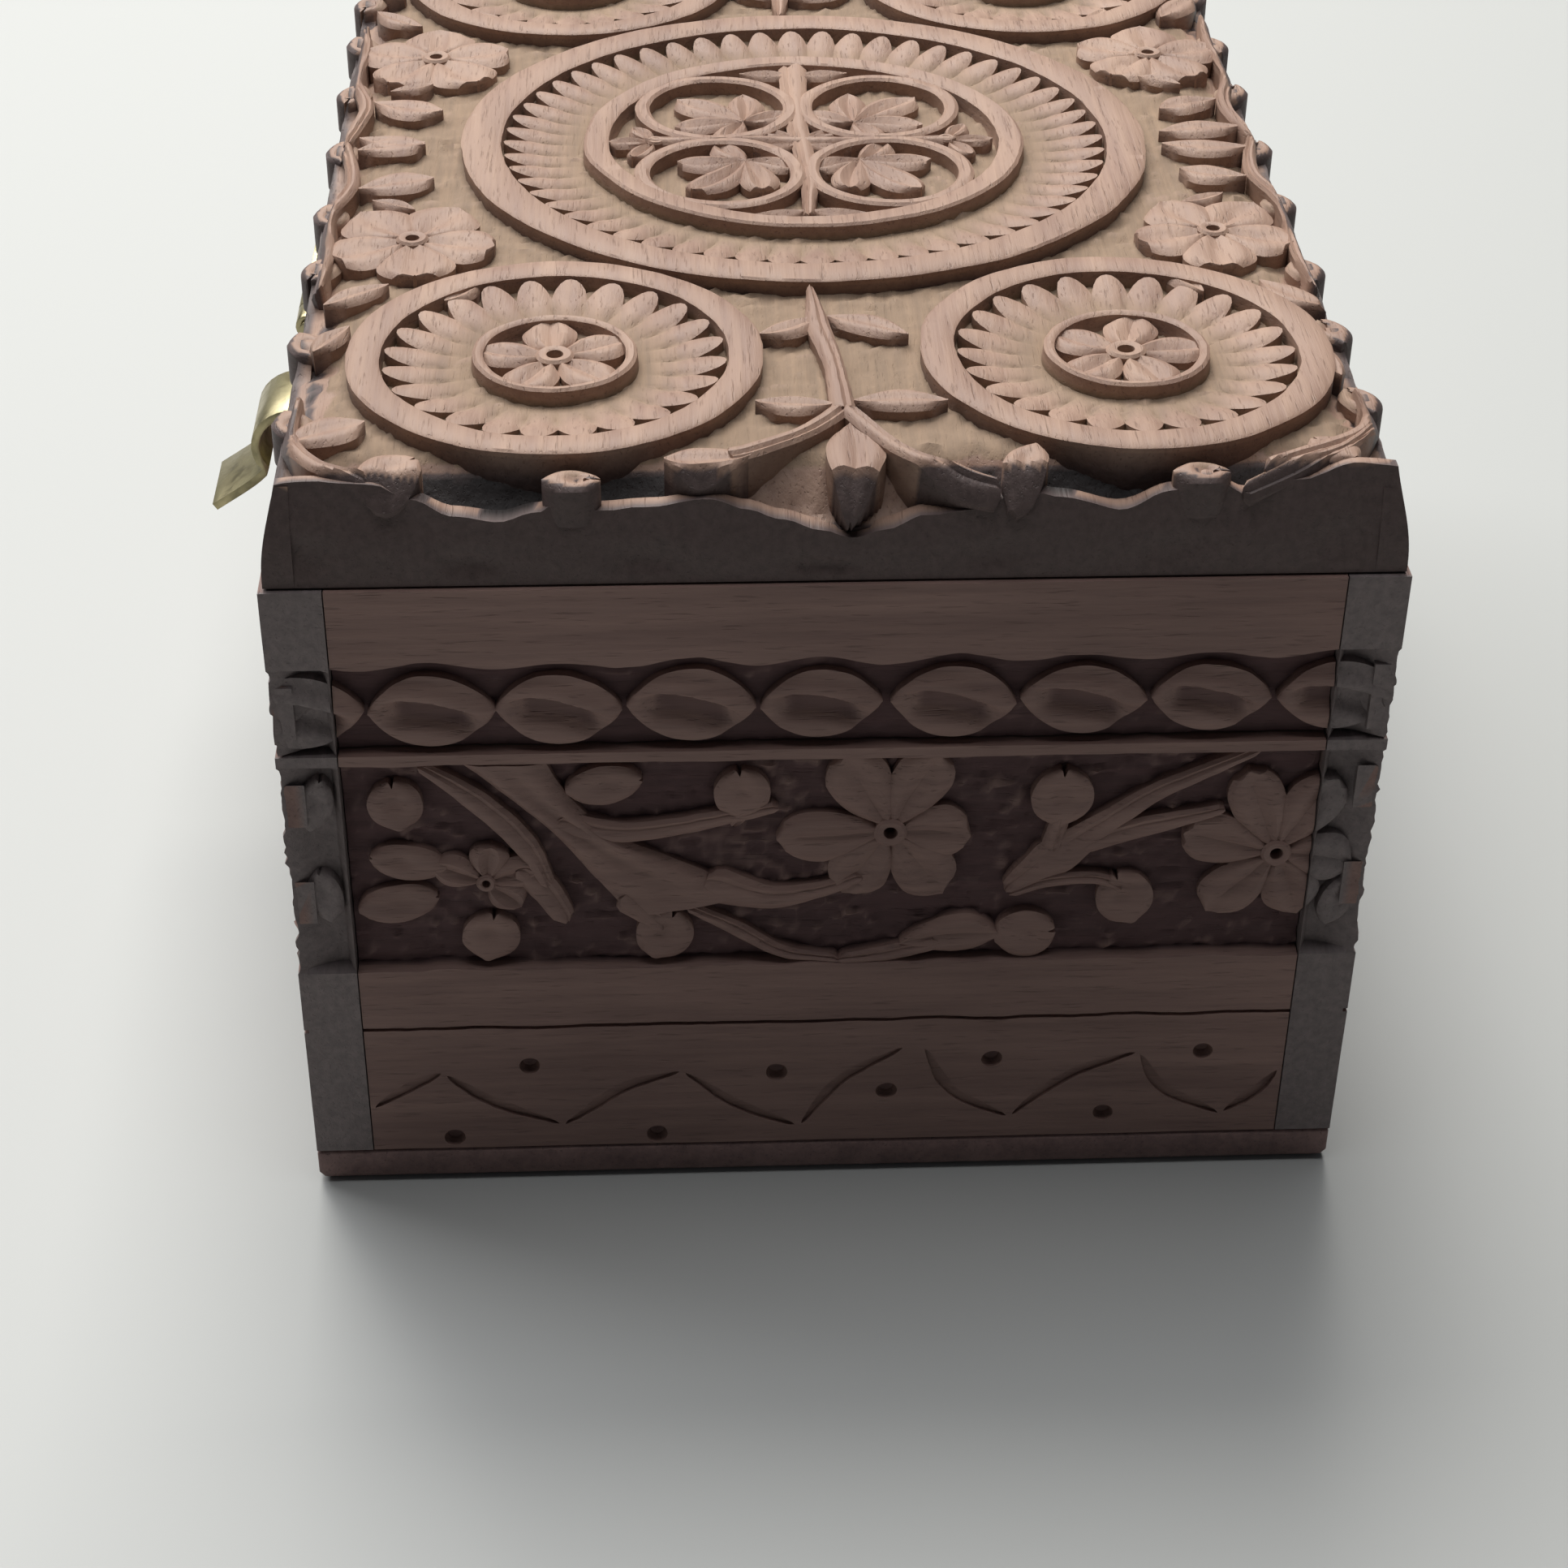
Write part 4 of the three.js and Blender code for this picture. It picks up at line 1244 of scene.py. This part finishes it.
def finish_of(name, context):
    """A material by name, made the first time that it is asked for."""
    colours = context.scene.box_wood
    # The sides' wood: its ground colour is painted shade, and its end grain carries a painted grey
    # reflection.
    grain_and_painted_shade = (colours.wall_light, colours.wall_dark, colours.wall_ground_shade, 0.58, colours.end_grain_and_reflection)
    woods = {
        "lid_wood": ("X", colours.light, colours.dark, colours.lid_ground, 0.56, colours.edge_painted_shade),
        "long_wood": ("X", *grain_and_painted_shade),
        "end_wood": ("Y", *grain_and_painted_shade),
        "base_wood": ("X", colours.base, dimmed(colours.base, 0.6)),
    }
    if name not in MADE and name in woods:
        MADE[name] = wood(name, *woods[name])
    elif name not in MADE:
        MADE[name] = TRIM_FINISHES[name](context.scene.box_trim)
    return MADE[name]


# ---------------------------------------------------------------- operators
class Maker:
    """What the operators share: each one only has to make its pieces."""

    def execute(self, context):
        self.make(context)
        return {"FINISHED"}


def finish_board(node, bm, side, body, depth, context):
    material = finish_of("long_wood" if side in LONG_SIDES else "end_wood", context)
    shade = board_shade(depth, side_half(side))
    finish_piece(f"carved_{node}", bm, material, body, "wood", [node], matrix=side_matrix(side), shade=shade)


class JEWELRYBOX_OT_walls(Maker, bpy.types.Operator):
    """Carve the four walls of the tray"""

    bl_idname = "jewelrybox.walls"
    bl_label = "Tray Walls"

    def make(self, context):
        settings = context.scene.box_carving
        for side, bm in make_walls(settings).items():
            node = f"{side}_wall" if side in LONG_SIDES else f"{side}_end_wall"
            finish_board(node, bm, side, "tray", settings.wall_depth / MM, context)


class JEWELRYBOX_OT_rails(Maker, bpy.types.Operator):
    """Carve the four rails of the lid"""

    bl_idname = "jewelrybox.rails"
    bl_label = "Lid Rails"

    def make(self, context):
        settings = context.scene.box_carving
        for side, bm in make_rails(settings).items():
            node = f"lid_{side}_rail" if side in LONG_SIDES else f"lid_{side}_end_rail"
            finish_board(node, bm, side, "lid", settings.rail_depth / MM, context)


class JEWELRYBOX_OT_lid_top(Maker, bpy.types.Operator):
    """Carve the medallions, flowers and vines of the lid's top board"""

    bl_idname = "jewelrybox.lid_top"
    bl_label = "Lid Top"

    def make(self, context):
        settings = context.scene.box_carving
        bm, material = carve_lid(settings), finish_of("lid_wood", context)
        finish_piece(
            "carved_lid_top", bm, material, "lid", "wood", ["lid_top_board"],
            matrix=lid_matrix(), shade=lid_shade(settings.lid_depth / MM),
        )


def nodes_with(*wanted):
    """The frame's nodes in these slots, as (node, body, slot)."""
    record = frame["record"]
    body_of = {node: body for body, nodes in record["behaviour"]["bodies"].items() for node in nodes}
    slots = {row["node"]: row["material_slot"] for row in record["subparts"]}
    return [(node, body_of[node], slot) for node, slot in slots.items() if slot in wanted]


def eased_copy(node, width, segments=2):
    """A copy of a node's own shape with its sharp edges eased, in millimetres."""
    bm = bmesh.new()
    bm.from_mesh(frame["nodes"][node].data)
    bmesh.ops.scale(bm, vec=(1 / MM,) * 3, verts=bm.verts[:])
    bmesh.ops.remove_doubles(bm, verts=bm.verts[:], dist=1e-3)
    bmesh.ops.dissolve_limit(
        bm, angle_limit=math.radians(1), use_dissolve_boundaries=False, verts=bm.verts[:], edges=bm.edges[:]
    )
    sharp = [edge for edge in bm.edges if edge.is_manifold and edge.calc_face_angle() > math.radians(35)]
    bmesh.ops.bevel(
        bm, geom=sharp, offset=width, offset_type="OFFSET", affect="EDGES", segments=segments, profile=0.5,
        material=-1, clamp_overlap=True,
    )
    return bm


class JEWELRYBOX_OT_base(Maker, bpy.types.Operator):
    """Ease the edges of the base board"""

    bl_idname = "jewelrybox.base"
    bl_label = "Base Board"

    def make(self, context):
        bm, material = eased_copy("base_board", 0.5, 3), finish_of("base_wood", context)
        finish_piece("eased_base_board", bm, material, "tray", "base_wood", ["base_board"])


class JEWELRYBOX_OT_metal(Maker, bpy.types.Operator):
    """Ease and finish the hinges, the hasp, the catch, the screws and the brads"""

    bl_idname = "jewelrybox.metal"
    bl_label = "Metal Fittings"

    def make(self, context):
        for node, body, slot in nodes_with("brass", "steel"):
            bm = eased_copy(node, 0.12)
            finish_piece(f"eased_{node}", bm, finish_of(slot, context), body, slot, [node], sharp=40)


class JEWELRYBOX_OT_velvet(Maker, bpy.types.Operator):
    """Lay the velvet panels in the tray and the lid"""

    bl_idname = "jewelrybox.velvet"
    bl_label = "Velvet Panels"

    def make(self, context):
        for node, body, slot in nodes_with("velvet"):
            bm = velvet_panel(node)
            piece = finish_piece(f"velvet_{node}", bm, finish_of(slot, context), body, slot, [node], sharp=60)


def velvet_panel(node):
    """A panel that fills its place, crowned on its open face and rounded at its edges."""
    low, high = box_mm(node)
    size, middle = high - low, (low + high) / 2
    thin = min(range(3), key=lambda i: size[i])
    across, up = [i for i in range(3) if i != thin]
    inward = -1.0 if node == "lid_lining" else 1.0
    if thin != 2:
        inward = -math.copysign(1.0, middle[thin])
    bm = bmesh.new()
    bmesh.ops.create_grid(bm, x_segments=60, y_segments=40, size=1.0)
    for vert in bm.verts:
        s, t = vert.co.x, vert.co.y
        edge = min((1 - abs(s)) * size[across] / 2, (1 - abs(t)) * size[up] / 2)
        crown = mix(0.25, 0.92, ease(edge, 0.0, 1.6)) + 0.05 * ripple(s * 60, t * 40, 71, 9)
        vert.co[across] = middle[across] + s * size[across] / 2
        vert.co[up] = middle[up] + t * size[up] / 2
        vert.co[thin] = middle[thin] + inward * size[thin] * (min(1.0, crown) - 0.5)
    for vert in grown_rim(bm):
        vert.co[thin] = middle[thin] - inward * size[thin] / 2
    bmesh.ops.edgeloop_fill(bm, edges=boundary(bm))
    return bm


class JEWELRYBOX_OT_stage(Maker, bpy.types.Operator):
    """Set out the floor, the lights and the camera"""

    bl_idname = "jewelrybox.stage"
    bl_label = "Stage"

    def make(self, context):
        settings = context.scene.box_stage
        make_floor(settings)
        make_lights(settings)
        make_camera(settings)
        context.scene.view_settings.view_transform = "Standard"


def make_floor(settings):
    bm = bmesh.new()
    bmesh.ops.create_grid(bm, x_segments=1, y_segments=1, size=3.0)
    mesh = mesh_of(bm, "floor")
    floor = add_object("floor", mesh)
    shader = Shader("plain_floor")
    shader.set({"Base Color": (*settings.floor, 1), "Roughness": 0.6})
    mesh.materials.append(shader.material)


LIGHT_TARGET = Vector((0.0, 0.0, 0.05))  # the middle of the box
LIGHT_SIZE = 0.9
COOL = (0.97, 0.98, 1.0)


def aimed_light(name, power, place, colour=COOL):
    light = bpy.data.lights.new(name, "AREA")
    light.energy = power
    light.size = LIGHT_SIZE
    light.color = colour
    lamp = add_object(name, light)
    lamp.location = place
    lamp.rotation_euler = (LIGHT_TARGET - Vector(place)).to_track_quat("-Z", "Y").to_euler()


def round_about(turn, rise, distance=1.5):
    """A place round the box, by the turn from the right end and the rise from the floor, in degrees."""
    level = math.cos(math.radians(rise)) * distance
    height = 0.05 + math.sin(math.radians(rise)) * distance
    return level * math.cos(math.radians(turn)), level * math.sin(math.radians(turn)), height


def make_lights(settings):
    world = bpy.data.worlds.new("pale_room")
    world.use_nodes = True
    sky = world.node_tree.nodes["Background"]
    sky.inputs["Color"].default_value = (0.86, 0.92, 1.0, 1)
    sky.inputs["Strength"].default_value = settings.sky
    bpy.context.scene.world = world
    aimed_light("back_light", settings.back_light, round_about(187, 54), (1.0, 0.985, 0.95))
    aimed_light("side_light", settings.side_light, round_about(230, 42))
    aimed_light("top_light", settings.top_light, round_about(180, 89))


def make_camera(settings):
    heading, dip, roll = settings.heading, settings.dip, settings.roll
    look = Vector((-math.cos(heading) * math.cos(dip), -math.sin(heading) * math.cos(dip), -math.sin(dip)))
    right = look.cross(Vector((0, 0, 1))).normalized()
    up = right.cross(look)
    right, up = right * math.cos(roll) + up * math.sin(roll), up * math.cos(roll) - right * math.sin(roll)
    camera = bpy.data.cameras.new("camera")
    camera.lens = settings.lens
    camera.sensor_width = 36.0
    camera.clip_start = 0.01
    camera.clip_end = 20.0
    viewer = add_object("camera", camera)
    facing = Matrix((right, up, -look)).transposed().to_4x4()
    viewer.matrix_world = Matrix.Translation(settings.place) @ facing
    bpy.context.scene.camera = viewer


class JEWELRYBOX_PT_parts(bpy.types.Panel):
    """The jewelry box's parts and settings"""

    bl_idname = "JEWELRYBOX_PT_parts"
    bl_label = "Jewelry Box"
    bl_space_type = "VIEW_3D"
    bl_region_type = "UI"
    bl_category = "Jewelry Box"

    def draw(self, context):
        for operator in OPERATORS:
            self.layout.operator(operator.bl_idname)
        for name in SETTINGS:
            group = getattr(context.scene, name)
            column = self.layout.column()
            for key in group.bl_rna.properties.keys():
                if key not in ("rna_type", "name"):
                    column.prop(group, key)


OPERATORS = (
    JEWELRYBOX_OT_stage,
    JEWELRYBOX_OT_walls,
    JEWELRYBOX_OT_rails,
    JEWELRYBOX_OT_lid_top,
    JEWELRYBOX_OT_base,
    JEWELRYBOX_OT_metal,
    JEWELRYBOX_OT_velvet,
)
SETTINGS = {
    "box_carving": CarvingSettings,
    "box_wood": WoodSettings,
    "box_trim": TrimSettings,
    "box_stage": StageSettings,
}
CLASSES = (*SETTINGS.values(), *OPERATORS, JEWELRYBOX_PT_parts)


def register():
    for item in CLASSES:
        bpy.utils.register_class(item)
    for name, group in SETTINGS.items():
        setattr(bpy.types.Scene, name, PointerProperty(type=group))


def unregister():
    for name in SETTINGS:
        delattr(bpy.types.Scene, name)
    for item in reversed(CLASSES):
        bpy.utils.unregister_class(item)


def main():
    """Make every piece in order."""
    register()
    bpy.ops.jewelrybox.stage()
    bpy.ops.jewelrybox.walls()
    bpy.ops.jewelrybox.rails()
    bpy.ops.jewelrybox.lid_top()
    bpy.ops.jewelrybox.base()
    bpy.ops.jewelrybox.metal()
    bpy.ops.jewelrybox.velvet()


if __name__ == "__main__":
    main()
